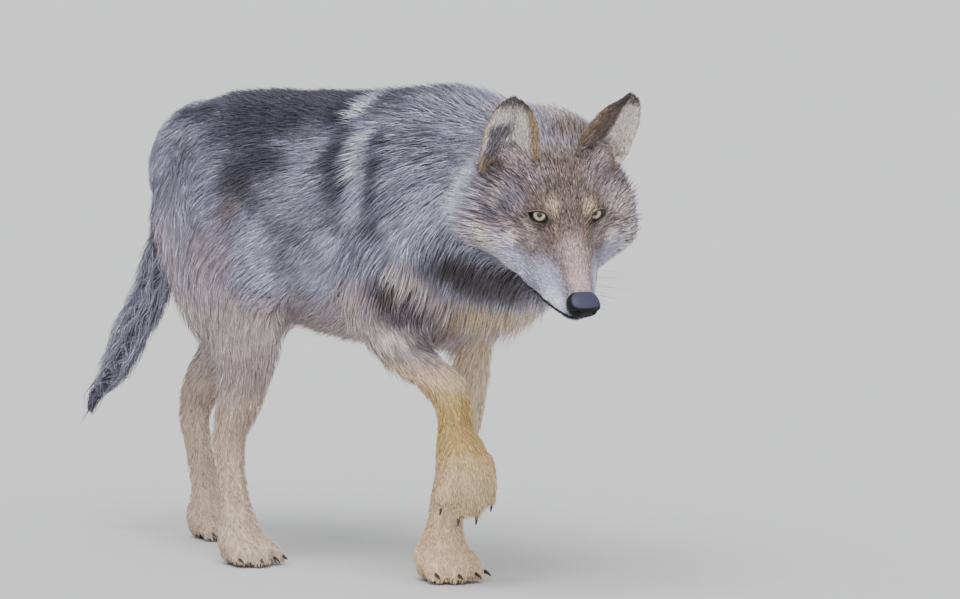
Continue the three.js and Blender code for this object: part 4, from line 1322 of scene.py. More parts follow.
    def finer_face(self) -> None:
        """Adds detail to the face, and more round the eyes."""
        for reach, rounds in ((0, 1), (24, 1)):
            local = to_head(body(points_of(self.obj)))
            if reach == 0:
                chosen = (local[:, 0] > -60) & (np.abs(local[:, 1]) < 85)
                chosen &= (local[:, 2] < 45) & (local[:, 2] > -115)
            else:
                chosen = np.zeros(len(local), bool)
                for side in (1, -1):
                    eye = np.array([EYE_FORWARD, side * EYE_SIDE, 0])
                    chosen |= np.linalg.norm(local - eye, axis=1) < reach
            self.select_faces(chosen)
            bpy.ops.mesh.subdivide(number_cuts=rounds)
            bpy.ops.object.mode_set(mode="OBJECT")
        weight = (self.head_share() > 0.5).astype(float) * 0.7
        ears = np.isin(
            self.zones_near(points_of(self.obj)), (Zone.EAR_LEFT.value, Zone.EAR_RIGHT.value)
        )
        weight[ears] = 0.25
        put_points(self.obj, relax(points_of(self.obj), edges_of(self.obj), 5, weight, back=0.9))
        self.fold_ear()

    def fold_ear(self) -> None:
        """Turns the left ear's inner half back, so that its brown back shows beside the opening."""
        co = points_of(self.obj)
        own = self.zones_near(co) == Zone.EAR_LEFT.value
        root, axes = ear_frame(1)
        q = (to_head(body(co)) - root) @ axes.T
        v = np.clip(q[:, 2] / EAR_HEIGHT, 0, 1)
        inner = np.clip(-q[:, 1] * np.sign(EAR_ROOT[1]) / (EAR_WIDTH / 2), 0, 1.2)
        share = own * smooth(0.02, 0.3, v) * (1 - smooth(0.8, 1.0, v) * 0.8)
        q[:, 1] -= 19 * share * inner**1.3
        q[:, 0] -= 16 * share * inner**1.6
        put_points(self.obj, row(from_head(q @ axes + root)))

    def sink(self) -> None:
        """Moves the skin in by the coat's depth."""
        co = points_of(self.obj)
        zones = self.zones_near(co)
        edges = edges_of(self.obj)
        place = body(co)
        _, _, depth = self.comb.at(place, zones)
        ears = np.isin(zones, (Zone.EAR_LEFT.value, Zone.EAR_RIGHT.value))
        depth[ears] = 1.2
        depth = relax(depth, edges, 6)
        normals = normals_of(self.obj)
        soles = (place[:, 2] < 14) & (normals[:, 2] < -0.4)
        depth[soles] = 0.3
        normals = unit(relax(normals, edges, 8, 1.0 - 0.9 * ears))
        put_points(self.obj, co - normals * (depth * 0.88 * MM)[:, None])

    def shape_face(self) -> None:
        """Sinks the mouth line, and shapes lids round the eyes."""
        co = points_of(self.obj)
        place = body(co)
        local = to_head(place)
        line = np.interp(local[:, 0], [x for x, _ in LIPS], [z for _, z in LIPS])
        off = local[:, 2] - line
        here = smooth(14, 30, local[:, 0]) * (local[:, 0] < 160) * (np.abs(local[:, 1]) < 75)
        groove = here * np.exp(-((off / 1.9) ** 2))
        local[:, 1] -= np.sign(local[:, 1]) * 3.0 * groove * smooth(3, 10, np.abs(local[:, 1]))
        local[:, 0] -= 2.6 * groove * smooth(20, 6, np.abs(local[:, 1]))
        along = smooth(10, 40, local[:, 0]) * smooth(150, 118, local[:, 0])
        flew = along * np.exp(-(((off - 5) / 13) ** 2)) * smooth(12, 26, np.abs(local[:, 1]))
        local[:, 1] += np.sign(local[:, 1]) * 5.5 * flew
        local[:, 2] -= 2.0 * flew
        pout = np.exp(-(((local[:, 0] - 55) / 24) ** 2) - ((local[:, 2] + 82) / 17) ** 2)
        local[:, 1] += np.sign(local[:, 1]) * 10 * pout * smooth(12, 26, np.abs(local[:, 1]))
        wide = np.exp(-(((local[:, 0] + 4) / 34) ** 2) - ((local[:, 2] + 76) / 30) ** 2)
        wide *= smooth(46, 84, np.abs(local[:, 1]))
        local[:, 1] += np.where(local[:, 1] > 0, 27, -8) * wide
        local[:, 0] += 5 * wide
        temple = np.exp(-(((local[:, 0] + 26) / 32) ** 2) - ((local[:, 2] + 26) / 26) ** 2)
        local[:, 1] += np.where(local[:, 1] > 0, 9, -1) * temple * smooth(50, 90, np.abs(local[:, 1]))
        for side in (1, -1):
            local = Lids(side).press(local)
        put_points(self.obj, row(from_head(local)))

    def paint(self) -> None:
        """Gives the skin the coat's own colours with their painted light, dark lips and lids, painted shade
        along the crease above each upper lid, and black pads under the feet.
        """
        co = points_of(self.obj)
        zones = self.zones_near(co)
        place = body(co)
        normals = normals_of(self.obj)
        colour, _ = self.markings.at(place, zones, normals)
        colour *= 0.8
        local = to_head(place)
        ink = shade(Shade.INK.value)
        dark = lips_share(local)
        for side in (1, -1):
            dark = np.maximum(dark, Lids(side).rim(local))
        dark = np.maximum(dark, ((place[:, 2] < 12) & (normals[:, 2] < -0.4)).astype(float))
        colour = colour * (1 - dark[:, None]) + dark[:, None] * ink
        put_colour(self.obj, colour)


def lips_share(local: np.ndarray) -> np.ndarray:
    """How far each point of the head's frame belongs to the dark edge of the lips."""
    line = np.interp(local[:, 0], [x for x, _ in LIPS], [z for _, z in LIPS])
    off = local[:, 2] - line
    across = np.abs(local[:, 1])
    here = smooth(34, 46, local[:, 0]) * (local[:, 0] < 160) * (across < 85) * (across > 2)
    thick = 2.2 + 1.8 * smooth(90, 50, local[:, 0])
    return here * smooth(1.9, 1.0, np.abs(off) / thick)


@dataclass(frozen=True)
class Lids:
    """The lids of one eye: an opening over the ball, set low and slanting to the inner corner.

    Attributes:
        side: 1 for the left eye, -1 for the right.
        half: half of the opening's length, in millimetres.
        level: the height of the line between the corners, over the ball's centre.
        thick: how far the lids' edge stands over the ball.
    """

    side: int
    half: float = 14.2
    level: float = -5.5
    thick: float = 1.3

    def frame(self) -> tuple[np.ndarray, np.ndarray]:
        """The ball's centre, and rows along the opening to the inner corner, up and out of the head."""
        flip = np.array([1, self.side, 1])
        return np.array([EYE_FORWARD, self.side * EYE_SIDE, 0]), np.array([LID_ALONG, LID_UP, LID_OUT]) * flip

    def edges(self, x: np.ndarray) -> tuple[np.ndarray, np.ndarray]:
        """The heights of the upper and the lower lid's edge at places along the opening."""
        t = np.clip(1 - (x / self.half) ** 2, 0, 1)
        lean = np.clip(x / self.half, -1, 1)
        if self.side > 0:
            return self.level + 10.3 * t**0.6 * (1 + 0.5 * lean), self.level + 2.0 * t
        return self.level + 9.0 * t**0.72 * (1 + 0.12 * lean), self.level - 3.6 * t * (1 - 1.25 * lean)

    def gap(self, x: np.ndarray, y: np.ndarray) -> np.ndarray:
        """How far outside the opening a point is, in millimetres; below 0 inside it."""
        top, low = self.edges(x)
        away = np.maximum(y - top, low - y)
        beside = np.maximum(np.abs(x) - self.half, 0)
        return np.where(beside > 0, np.hypot(beside, np.maximum(away, 0)), away * np.where(away > 0, 0.9, 1))

    def press(self, local: np.ndarray) -> np.ndarray:
        """Shapes the skin round the eye.

        Args:
            local: the skin's points in the head's frame.

        Returns:
            The points, moved.
        """
        centre, axes = self.frame()
        q = (local - centre) @ axes.T
        near = (np.hypot(q[:, 0], q[:, 1]) < 34) & (q[:, 2] > -16) & (np.linalg.norm(q, axis=1) < 40)
        x, y, z = q[near].T
        reach = np.hypot(x, y)
        lid_radius = EYE_RADIUS + self.thick
        ball = np.sqrt(np.maximum(EYE_RADIUS**2 - reach**2, 0))
        cover = np.sqrt(np.maximum(lid_radius**2 - reach**2, 6)) - np.maximum(reach - lid_radius, 0) * 0.9
        gap = self.gap(x, y)
        top, _ = self.edges(x)
        lid = cover - 0.5 + 1.1 * smooth(0, 1.8, gap) + 0.1 * np.maximum(gap - 2, 0)
        aim = np.where(gap < 0, ball - 2.6, lid)
        share = 1 - smooth(2.5, 9.0, gap)
        z = z * (1 - share) + aim * share
        within = smooth(15, 8, np.abs(x))
        z -= 1.5 * np.exp(-(((y - top - 5.2) / 1.5) ** 2)) * within
        z += 2.0 * np.exp(-(((y - top - 12) / 4.5) ** 2)) * smooth(20, 10, np.abs(x))
        out = local.copy()
        out[near] = np.stack([x, y, z], 1) @ axes + centre
        return out

    def rim(self, local: np.ndarray) -> np.ndarray:
        """How far each point is on the dark edge of the lids or on the tear line, or on the painted shade
        along the crease above the upper lid.
        """
        centre, axes = self.frame()
        x, y, z = ((local - centre) @ axes.T).T
        near = (np.abs(z) < 30) & (np.hypot(x, y) < 40)
        gap = self.gap(x, y)
        top, _ = self.edges(x)
        edge = smooth(2.7, 1.7, gap)
        corner = smooth(5.5, 3.0, np.hypot(x - self.half, y - self.level - 0.5))
        outer = smooth(3.6, 2.0, np.hypot(x + self.half, (y - self.level) * 1.4))
        tear_line = np.abs(y - self.level + 0.35 * (x - self.half))
        tear = smooth(2.4, 1.2, tear_line) * smooth(27, 16, x) * (x > 12)
        # painted shade: a dark line along the crease above the upper lid
        fold = 0.75 * smooth(1.5, 0.6, np.abs(y - top - 5.2)) * smooth(15, 9, np.abs(x + 1))
        return np.max([edge, corner, outer, 0.85 * tear, fold], axis=0) * near

    def bare(self, local: np.ndarray) -> np.ndarray:
        """Whether each point is too near the lids' edge for hair to grow."""
        centre, axes = self.frame()
        x, y, z = ((local - centre) @ axes.T).T
        return (self.gap(x, y) < 2.4) & (np.abs(z) < 30) & (np.hypot(x, y) < 30)


# ------------------------------------------------------------------ the coat


@dataclass(frozen=True)
class CoatPart:
    """One piece of the coat.

    Attributes:
        name: the piece's name.
        slot: the finish it takes.
        marks: how many marks each tuft has after its root.
        reach: the share of the coat's length that a tuft has.
        cover: how many tufts lie over each spot.
    """

    name: str
    slot: str
    marks: int
    reach: float
    cover: float


COAT_PARTS = (
    CoatPart("coat_back", "coat_body", 2, 0.70, 4.0),
    CoatPart("coat_flank_right", "coat_body", 2, 0.70, 3.7),
    CoatPart("coat_flank_left", "coat_body", 2, 0.70, 3.5),
    CoatPart("coat_neck_right", "coat_body", 2, 0.72, 4.1),
    CoatPart("coat_neck_left", "coat_body", 2, 0.72, 3.8),
    CoatPart("coat_chest", "coat_body", 2, 0.80, 3.5),
    CoatPart("coat_tail", "coat_body", 3, 0.90, 4.0),
    CoatPart("coat_cheeks", "coat_face", 2, 0.80, 3.0),
    CoatPart("coat_face", "coat_face", 2, 1.0, 1.9),
    CoatPart("coat_ears", "coat_face", 2, 1.0, 1.6),
    CoatPart("coat_legs_fore", "coat_leg", 2, 1.0, 0.95),
    CoatPart("coat_legs_hind", "coat_leg", 2, 1.0, 0.80),
)


@dataclass
class Coat:
    """The coat: closed, tapered tufts that grow from the skin and follow its lie."""

    skin: Skin
    comb: Comb
    markings: Markings
    seed: int = 4

    def prepare(self) -> None:
        """Reads the skin once: its faces, lie, length and depth, smoothed over the surface."""
        obj = self.skin.obj
        self.co = points_of(obj)
        self.tris = triangles_of(obj)
        edges = edges_of(obj)
        self.zones = self.skin.zones_near(self.co)
        place = body(self.co)
        self.normals = unit(relax(normals_of(obj), edges, 2))
        lie, length, depth = self.comb.at(place, self.zones)
        local = to_head(place)
        for side, zone in ((1, Zone.EAR_LEFT), (-1, Zone.EAR_RIGHT)):
            own = self.zones == zone.value
            root, axes = ear_frame(side)
            q = (local[own] - root) @ axes.T
            front = (self.normals[own] @ (HEAD_TURN @ axes[0])) > 0.1
            v = np.clip(q[:, 2] / EAR_HEIGHT, 0, 1)
            out = np.sign(q[:, 1]) * (HEAD_TURN @ axes[1])[:, None]
            rise = (HEAD_TURN @ axes[2])[:, None]
            way = np.where(front, (rise - 0.55 * out * (1 - v)), rise).T
            lie[own] = unit(way)
            length[own] = np.where(front, 20 - 12 * v, 12 - 3 * v)
            depth[own] = np.where(front, 3.5 - 2 * v, 2.0)
        lie = unit(relax(lie, edges, 3))
        self.length = relax(length, edges, 4)
        self.depth = relax(depth, edges, 4)
        self.face_free = unit(lie[self.tris].mean(1))
        across = (lie * self.normals).sum(1, keepdims=True)
        self.lie = unit(lie - self.normals * across)
        a, b, c = (self.co[self.tris[:, k]] for k in range(3))
        self.area = np.linalg.norm(np.cross(b - a, c - a), axis=1) / 2
        self.centre = body((a + b + c) / 3)
        self.face_zone = self.zones[self.tris[:, 0]]
        self.tree = BVHTree.FromPolygons(self.co.tolist(), self.tris.tolist())
        self.face_lie = unit(self.lie[self.tris].mean(1))
        self.face_normal = unit(self.normals[self.tris].mean(1))
        self.face_stand = (self.face_free * self.face_normal).sum(1)

    def owned(self, part: CoatPart) -> np.ndarray:
        """Which faces of the skin a piece of the coat grows from."""
        p, zone = self.centre, self.face_zone
        local = to_head(p)
        facial = (zone == Zone.HEAD.value)
        inner = facial & (local[:, 0] > -62 + 0.25 * np.abs(local[:, 1])) & (np.abs(local[:, 1]) < 66)
        inner &= local[:, 2] > -104
        trunk = zone == Zone.BODY.value
        neck = trunk & (p[:, 0] * 0.82 + (p[:, 2] - 580) * 0.25 > 100)
        low = trunk & (p[:, 2] < 420)
        top = trunk & ~neck & ~low & (np.abs(p[:, 1]) < 62)
        side = trunk & ~neck & ~low & ~top
        rules = {
            "coat_back": top,
            "coat_flank_right": side & (p[:, 1] < 0),
            "coat_flank_left": side & (p[:, 1] >= 0),
            "coat_neck_right": neck & ~low & (p[:, 1] < -20),
            "coat_neck_left": neck & ~low & (p[:, 1] >= -20),
            "coat_chest": low,
            "coat_tail": zone == Zone.TAIL.value,
            "coat_cheeks": facial & ~inner,
            "coat_face": inner,
            "coat_ears": np.isin(zone, (Zone.EAR_LEFT.value, Zone.EAR_RIGHT.value)),
            "coat_legs_fore": np.isin(zone, (Zone.FORE_RIGHT.value, Zone.FORE_LEFT.value)),
            "coat_legs_hind": np.isin(zone, (Zone.HIND_RIGHT.value, Zone.HIND_LEFT.value)),
        }
        return rules[part.name]

    def bare_faces(self) -> np.ndarray:
        """Faces with no hair: lids, lips, under the nose pad and the pads of the feet."""
        local = to_head(self.centre)
        bare = lips_share(local) > 0.5
        for side in (1, -1):
            bare |= Lids(side).bare(local)
        bare |= np.linalg.norm((local - NOSE_CENTRE - np.array([3, 0, 0])) / (NOSE_RADII + 1.0), axis=1) < 1
        bare |= (self.centre[:, 2] < 9) & (self.face_normal[:, 2] < -0.3)
        return bare

    def walk(
        self, roots: np.ndarray, faces: np.ndarray, step: np.ndarray, turn: np.ndarray, marks: int
    ) -> tuple[np.ndarray, np.ndarray]:
        """Follows the lie over the skin.

        Args:
            roots: where each tuft grows, in metres.
            faces: the skin face of each root.
            step: how far each goes between marks.
            turn: each tuft's own turn off the lie, in radians.
            marks: how many marks after the root.

        Returns:
            The places on the skin and the normals there, one row a tuft and one column a mark.
        """
        n = len(roots)
        places = np.empty((n, marks + 1, 3))
        normals = np.empty((n, marks + 1, 3))
        places[:, 0] = roots
        normals[:, 0] = self.face_normal[faces]
        lie = self.face_lie[faces]
        face = faces.copy()
        find = self.tree.find_nearest
        for k in range(1, marks + 1):
            up = self.face_normal[face]
            lie = self.face_lie[face]
            beside = np.cross(up, lie)
            way = unit(lie * np.cos(turn)[:, None] + beside * np.sin(turn)[:, None])
            ahead = places[:, k - 1] + way * step[:, None]
            spot = np.empty((n, 3))
            for i in range(n):
                at, _, f, _ = find(Vector(ahead[i]))
                spot[i] = at
                face[i] = f
            places[:, k] = spot
            normals[:, k] = self.face_normal[face]
        return places, normals

    def roots(
        self, part: CoatPart, rng: np.random.Generator, bare: np.ndarray
    ) -> tuple[np.ndarray, np.ndarray, np.ndarray]:
        """Scatters roots over a piece's share of the skin, as thick as the tufts' size asks.

        Args:
            part: the piece.
            rng: the piece's random numbers.
            bare: faces with no hair.

        Returns:
            The roots, their faces and their places within the faces.
        """
        own = self.owned(part) & ~bare
        length = self.length[self.tris].mean(1) * part.reach
        width = tuft_width(length)
        need = np.where(own, self.area / MM**2 * part.cover / (0.5 * length * width), 0)
        total = int(need.sum() * (1.0))
        face = np.searchsorted(np.cumsum(need) / need.sum(), rng.random(total))
        face = np.minimum(face, len(need) - 1)
        r = rng.random((total, 2))
        fold = r.sum(1) > 1
        r[fold] = 1 - r[fold]
        bary = np.stack([1 - r.sum(1), r[:, 0], r[:, 1]], 1)
        return (self.co[self.tris[face]] * bary[:, :, None]).sum(1), face, bary

    def build(self, part: CoatPart, bare: np.ndarray) -> bpy.types.Object:
        """Makes one piece of the coat.

        Args:
            part: the piece.
            bare: faces with no hair.

        Returns:
            The piece's object.
        """
        rng = np.random.default_rng([self.seed, COAT_PARTS.index(part)])
        root, face, bary = self.roots(part, rng, bare)
        n = len(root)
        corner = self.tris[face]
        length = (self.length[corner] * bary).sum(1) * part.reach
        depth = (self.depth[corner] * bary).sum(1)
        zone = self.face_zone[face]
        marks = part.marks
        spread = rng.normal(0, 0.085, n)
        own_length = length * np.clip(rng.normal(0.95, 0.18, n), 0.45, 1.35)
        rise = depth * np.clip(rng.beta(2.6, 1.3, n), 0.15, 1.0)
        places, normals = self.walk(root, face, own_length * MM / marks, spread, marks)
        s = np.linspace(0, 1, marks + 1)
        height = (0.15 + 0.85 * s**0.65)[None, :] * rise[:, None] * MM
        height[:, 0] = -0.6 * MM
        path = places + normals * height[:, :, None]
        loose = smooth(0.04, 0.42, self.face_stand[face]) * rng.uniform(0.25, 0.85, n)
        ahead = (own_length[:, None] * s[None] * MM)[:, :, None]
        free = places[:, :1] + self.face_free[face][:, None] * ahead
        free += normals[:, :1] * height[:, :, None] * 0.6
        path += (free - path) * loose[:, None, None]
        path = self.gather(path, root, length, rng, s)
        lift = np.clip(rng.normal(0, 1, n), -1, 2.2) * 0.025 * own_length * MM
        path += normals * (lift[:, None] * s[None] ** 1.6)[:, :, None]
        path[:, 1:, 2] = np.maximum(path[:, 1:, 2], 0.0008)
        colours = self.colour(path[:, -1] * 0.5 + path[:, -2] * 0.5, face, zone, rng, marks)
        width = tuft_width(length) * np.clip(rng.normal(1, 0.2, n), 0.55, 1.6) * 1.0
        obj = self.solid(part, path, normals, width * MM, colours, rng, places[:, 0])
        return obj

    def gather(
        self, path: np.ndarray, root: np.ndarray, length: np.ndarray, rng: np.random.Generator, s: np.ndarray
    ) -> np.ndarray:
        """Draws neighbouring tufts together into locks towards their tips."""
        n = len(root)
        spacing = np.clip(length.mean() * 0.42, 5, 26) * MM
        heads = rng.permutation(n)[: max(8, int(n * np.clip(12 / (spacing / MM) ** 1.3, 0.015, 0.2)))]
        tree = KDTree(len(heads))
        for i, h in enumerate(heads):
            tree.insert(Vector(root[h]), i)
        tree.balance()
        lead = np.array([heads[tree.find(Vector(p))[1]] for p in root])
        draw = rng.uniform(0.05, 0.32, n)
        away = path[lead] - path
        share = draw[:, None] * s[None] ** 1.5
        far = np.linalg.norm(root[lead] - root, axis=1)
        share *= (far < 3 * spacing)[:, None]
        return path + away * share[:, :, None]

    def colour(
        self, spot: np.ndarray, face: np.ndarray, zone: np.ndarray, rng: np.random.Generator, marks: int
    ) -> np.ndarray:
        """Colours each tuft from root to tip, with dark and pale ones mixed as the markings say.

        Args:
            spot: where each tuft shows, in metres.
            face: the skin face that it grows from.
            zone: its zone value.
            rng: the piece's random numbers.
            marks: how many marks each has after its root.

        Returns:
            A colour a tuft and mark.
        """
        n = len(spot)
        place = body(spot) + self.face_lie[face] * rng.normal(0, 4, n)[:, None]
        base, ticks = self.markings.at(place, zone, self.face_normal[face])
        kind = rng.random(n)
        dark = kind < 0.36 * np.clip(ticks * 1.6, 0, 1)
        pale = kind > 1 - 0.34 * np.clip(ticks * 1.6, 0, 1)
        factor = np.exp(rng.normal(0, 0.10 + 0.22 * ticks, n))
        factor = np.where(dark, factor * (1 - 0.56 * np.clip(ticks * 1.7, 0, 1)), factor)
        factor = np.where(pale, factor * (1 + 0.62 * np.clip(ticks * 1.7, 0, 1)), factor)
        tint = 1 + rng.normal(0, 0.02, (n, 3))
        bands = np.linspace(0, 1, marks + 1)
        along = np.interp(bands, [0, 0.4, 0.8, 1], [0.78, 1.0, 1.08, 1.0])
        tip = np.where(dark, 0.8, np.where(pale, 1.12, 1.0))
        bands_by = along[None] * (1 + (tip[:, None] - 1) * bands[None] ** 2)
        out = base[:, None] * factor[:, None, None] * tint[:, None] * bands_by[:, :, None]
        return np.clip(out, 0.002, 0.92)

    def solid(
        self,
        part: CoatPart,
        path: np.ndarray,
        normals: np.ndarray,
        width: np.ndarray,
        colours: np.ndarray,
        rng: np.random.Generator,
        root: np.ndarray,
    ) -> bpy.types.Object:
        """Builds closed three-sided tufts along their paths.

        Args:
            part: the piece.
            path: each tuft's line.
            normals: the way out of the skin along it.
            width: each tuft's width at its root.
            colours: a colour a tuft and mark.
            rng: the piece's random numbers.
            root: the roots on the skin.

        Returns:
            The piece's object.
        """
        n, count, _ = path.shape
        rings = count - 1
        along = unit(np.diff(path, axis=1))
        beside = unit(np.cross(normals[:, :rings], along))
        over = np.cross(along, beside)
        roll = rng.normal(0, 0.35, n)
        side = beside * np.cos(roll)[:, None, None] + over * np.sin(roll)[:, None, None]
        rise = over * np.cos(roll)[:, None, None] - beside * np.sin(roll)[:, None, None]
        profile = np.interp(np.arange(rings) / rings, [0, 0.34, 0.67, 1], [0.8, 1.0, 0.62, 0])
        taper = profile[None] * width[:, None]
        left = path[:, :rings] - side * (taper / 2)[:, :, None]
        right = path[:, :rings] + side * (taper / 2)[:, :, None]
        ridge = path[:, :rings] + rise * (taper * 0.42)[:, :, None]
        ring = np.stack([left, right, ridge], 2).reshape(n, rings * 3, 3)
        points = np.concatenate([ring, path[:, -1:]], 1)
        per = rings * 3 + 1
        faces = [(0, 2, 1)]
        for k in range(rings - 1):
            for i in range(3):
                a, b = 3 * k + i, 3 * k + (i + 1) % 3
                faces += [(a, b, b + 3), (a, b + 3, a + 3)]
        last = 3 * (rings - 1)
        faces += [(last + i, last + (i + 1) % 3, per - 1) for i in range(3)]
        faces = np.array(faces)
        all_faces = (faces[None] + (np.arange(n) * per)[:, None, None]).reshape(-1, 3)
        obj = mesh_object(part.name, points.reshape(-1, 3), all_faces)
        ring_colours = np.repeat(colours[:, :rings], 3, axis=1)
        put_colour(obj, np.concatenate([ring_colours, colours[:, -1:]], 1).reshape(-1, 3))
        self.unwrap(obj, part, root, per, faces, rings)
        return obj

    def unwrap(
        self, obj: bpy.types.Object, part: CoatPart, root: np.ndarray, per: int, faces: np.ndarray, rings: int
    ) -> None:
        """Lays each tuft as a small patch at its root's place on the skin's unwrap."""
        u, v = skin_unwrap(body(root), part.name)
        spot = np.stack([u, v], 1)
        spot = (spot - spot.min(0)) / np.maximum(np.ptp(spot, axis=0), 1e-6) * 0.99 + 0.003
        patch = 0.003
        across = np.array([0.0, 0.5, 1.0] * rings + [0.5])
        along = np.repeat(np.arange(rings) / rings, 3).tolist() + [1.0]
        corner = np.stack([across, np.array(along)], 1) * patch
        uv = (spot[:, None] + corner[faces.ravel()][None]).reshape(-1, 2)
        layer = obj.data.uv_layers.new(name="OFBake")
        layer.data.foreach_set("uv", uv.astype(np.float32).ravel())


def tuft_width(length: np.ndarray) -> np.ndarray:
    """A tuft's width for its length, both in millimetres."""
    return 0.92 + 0.0128 * length


def skin_unwrap(p: np.ndarray, name: str) -> tuple[np.ndarray, np.ndarray]:
    """Unrolls the skin round the axis of the part that a piece grows on.

    Args:
        p: body millimetres.
        name: the piece's name.

    Returns:
        The place round the axis and the place along it.
    """
    if name in ("coat_face", "coat_cheeks", "coat_ears"):
        q = to_head(p)
        angle = np.arctan2(q[:, 1], q[:, 2] + 40)
        if name == "coat_ears":
            side = np.sign(q[:, 1])
            return side * 2 + np.arctan2(np.abs(q[:, 1]) - 77, q[:, 0] + 100) / np.pi, q[:, 2] / 120
        return angle / np.pi, q[:, 0] / 120
    if name == "coat_tail":
        axis = np.interp(p[:, 2], [182, 258, 345, 440, 540, 606], [-772, -705, -640, -585, -548, -486])
        return np.arctan2(p[:, 1] + 10, p[:, 0] - axis) / np.pi, p[:, 2] / 120
    if name.startswith("coat_legs"):
        fore = name.endswith("fore")
        left = p[:, 1] > (10 if fore else 0)
        u = np.empty(len(p))
        left_leg = Zone.FORE_LEFT if fore else Zone.HIND_LEFT
        right_leg = Zone.FORE_RIGHT if fore else Zone.HIND_RIGHT
        for flag, zone in ((True, left_leg), (False, right_leg)):
            own = left == flag
            s = np.array(LIMBS[zone], float)[::-1]
            order = np.argsort(s[:, 2])
            x = np.interp(p[own, 2], s[order, 2], s[order, 0])
            y = np.interp(p[own, 2], s[order, 2], s[order, 1])
            u[own] = np.arctan2(p[own, 1] - y, p[own, 0] - x) / np.pi + (2.2 if flag else 0)
        return u, p[:, 2] / 120
    if name == "coat_chest":
        return p[:, 1] / 120, p[:, 0] / 200
    angle = np.arctan2(p[:, 1], p[:, 2] - 540)
    if name == "coat_back":
        return p[:, 1] / 60, p[:, 0] / 200
    return angle, p[:, 0] / 200


# ------------------------------------------------------------------ eyes, nose, claws, whiskers


@dataclass
class Eye:
    """One eye: a ball with a raised cornea, whose iris is drawn round its gaze.

    Attributes:
        side: 1 for the left eye, -1 for the right.
        bulge: how far the cornea stands up from the ball, in millimetres.
    """

    side: int
    bulge: float = 0.6

    def build(self, finish: bpy.types.Material) -> bpy.types.Object:
        """Makes the eye.

        Args:
            finish: the eye's material.

        Returns:
            The eye's object.
        """
        name = "left" if self.side > 0 else "right"
        centre = from_head(np.array([[EYE_FORWARD, self.side * EYE_SIDE, 0]]))[0]
        bpy.ops.object.select_all(action="DESELECT")
        bpy.ops.mesh.primitive_uv_sphere_add(segments=72, ring_count=48, radius=EYE_RADIUS * MM)
        obj = bpy.context.view_layer.objects.active
        obj.name = f"eyeball_{name}"
        co = points_of(obj) / MM
        polar = np.degrees(np.arccos(np.clip(co[:, 2] / EYE_RADIUS, -1, 1)))
        turn = np.arctan2(co[:, 1], co[:, 0])
        co *= (1 + self.bulge / EYE_RADIUS * np.exp(-((polar / 30) ** 4)))[:, None] * 0.985
        turned = GAZE + (INWARD if self.side > 0 else 0)
        gaze = Vector(unit(turned)).to_track_quat("Z", "Y").to_matrix()
        put_points(obj, row(co @ np.array(gaze).T + centre))
        rng = np.random.default_rng(31 + self.side)
        rays = rng.normal(0, 1, 36)
        wave = np.interp((turn + np.pi) / (2 * np.pi) * 36 % 36, np.arange(37), np.append(rays, rays[0]))
        fibre = 1 + 0.16 * wave * smooth(11, 20, polar) * smooth(46, 38, polar)
        for key, values in (("polar", polar / 100), ("fibre", fibre)):
            layer = obj.data.attributes.new(key, "FLOAT", "POINT")
            layer.data.foreach_set("value", values.astype(np.float32))
        obj.data.materials.append(finish)
        only(obj)
        bpy.ops.object.shade_smooth()
        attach(obj, "root")
        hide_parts(f"eye_{name}")
        return obj


@dataclass
class NosePad:
    """The nose pad: flat-topped, with comma-shaped nostrils and a groove down its middle.

    Attributes:
        centre: its middle, in the head's frame.
        radii: half of its length, width and height.
        square: how boxy it is; 2 is an ellipsoid.
    """

    centre: tuple[float, float, float] = (130.5, 0.0, -36.5)
    radii: tuple[float, float, float] = (17.5, 25.0, 17.0)
    square: float = 2.9

    def build(self, finish: bpy.types.Material) -> bpy.types.Object:
        """Makes the pad."""
        bpy.ops.object.select_all(action="DESELECT")
        bpy.ops.mesh.primitive_uv_sphere_add(segments=160, ring_count=110, radius=1)
        obj = bpy.context.view_layer.objects.active
        obj.name = "nose_pad"
        obj.data.name = "nose_pad"
        way = points_of(obj)
        reach = (np.abs(way) ** self.square).sum(1) ** (-1 / self.square)
        local = way * reach[:, None]
        low = smooth(0.15, -1.0, local[:, 2])
        local[:, 1] *= 1 - 0.42 * low
        local[:, 0] -= 0.30 * low**2
        local[:, 1] *= 1 - 0.10 * smooth(0.2, -1, local[:, 0])
        local = local * np.array(self.radii) + np.array(self.centre)
        put_points(obj, row(from_head(local)))
        normals = normals_of(obj) @ HEAD_TURN
        sunk = np.zeros(len(local))
        for side in (1, -1):
            for spot, size, depth in (
                ((146.0, 13.0, -31.5), 4.0, 7.0),
                ((143.5, 18.5, -34.0), 3.2, 5.0),
                ((140.5, 22.0, -37.0), 2.4, 3.4),
                ((136.0, 23.5, -39.5), 1.9, 2.4),
            ):
                gap = np.linalg.norm(local - np.array(spot) * np.array([1, side, 1]), axis=1)
                sunk = np.maximum(sunk, depth * np.exp(-((gap / size) ** 2.4)))
        front = smooth(0.2, 0.6, normals[:, 0])
        groove = 1.6 * np.exp(-((local[:, 1] / 1.1) ** 2)) * front * smooth(-30, -36, local[:, 2])
        pebbles = Mottle(21, 1.5).at(local) * 0.05 * smooth(1.5, 0.2, sunk)
        local -= normals * (sunk + groove - pebbles)[:, None]
        put_points(obj, row(from_head(local)))
        # painted reflection: what faces up, away from the nostrils, takes the slate sheen of the sky
        painted_sky_sheen = smooth(0.62, 0.86, normals[:, 2]) * smooth(2.0, 0.4, sunk)
        layer = obj.data.attributes.new("painted_sky_sheen", "FLOAT", "POINT")
        layer.data.foreach_set("value", painted_sky_sheen.astype(np.float32))
        obj.data.materials.append(finish)
        only(obj)
        bpy.ops.object.shade_smooth()
        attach(obj, "root")
        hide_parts("nose")
        return obj


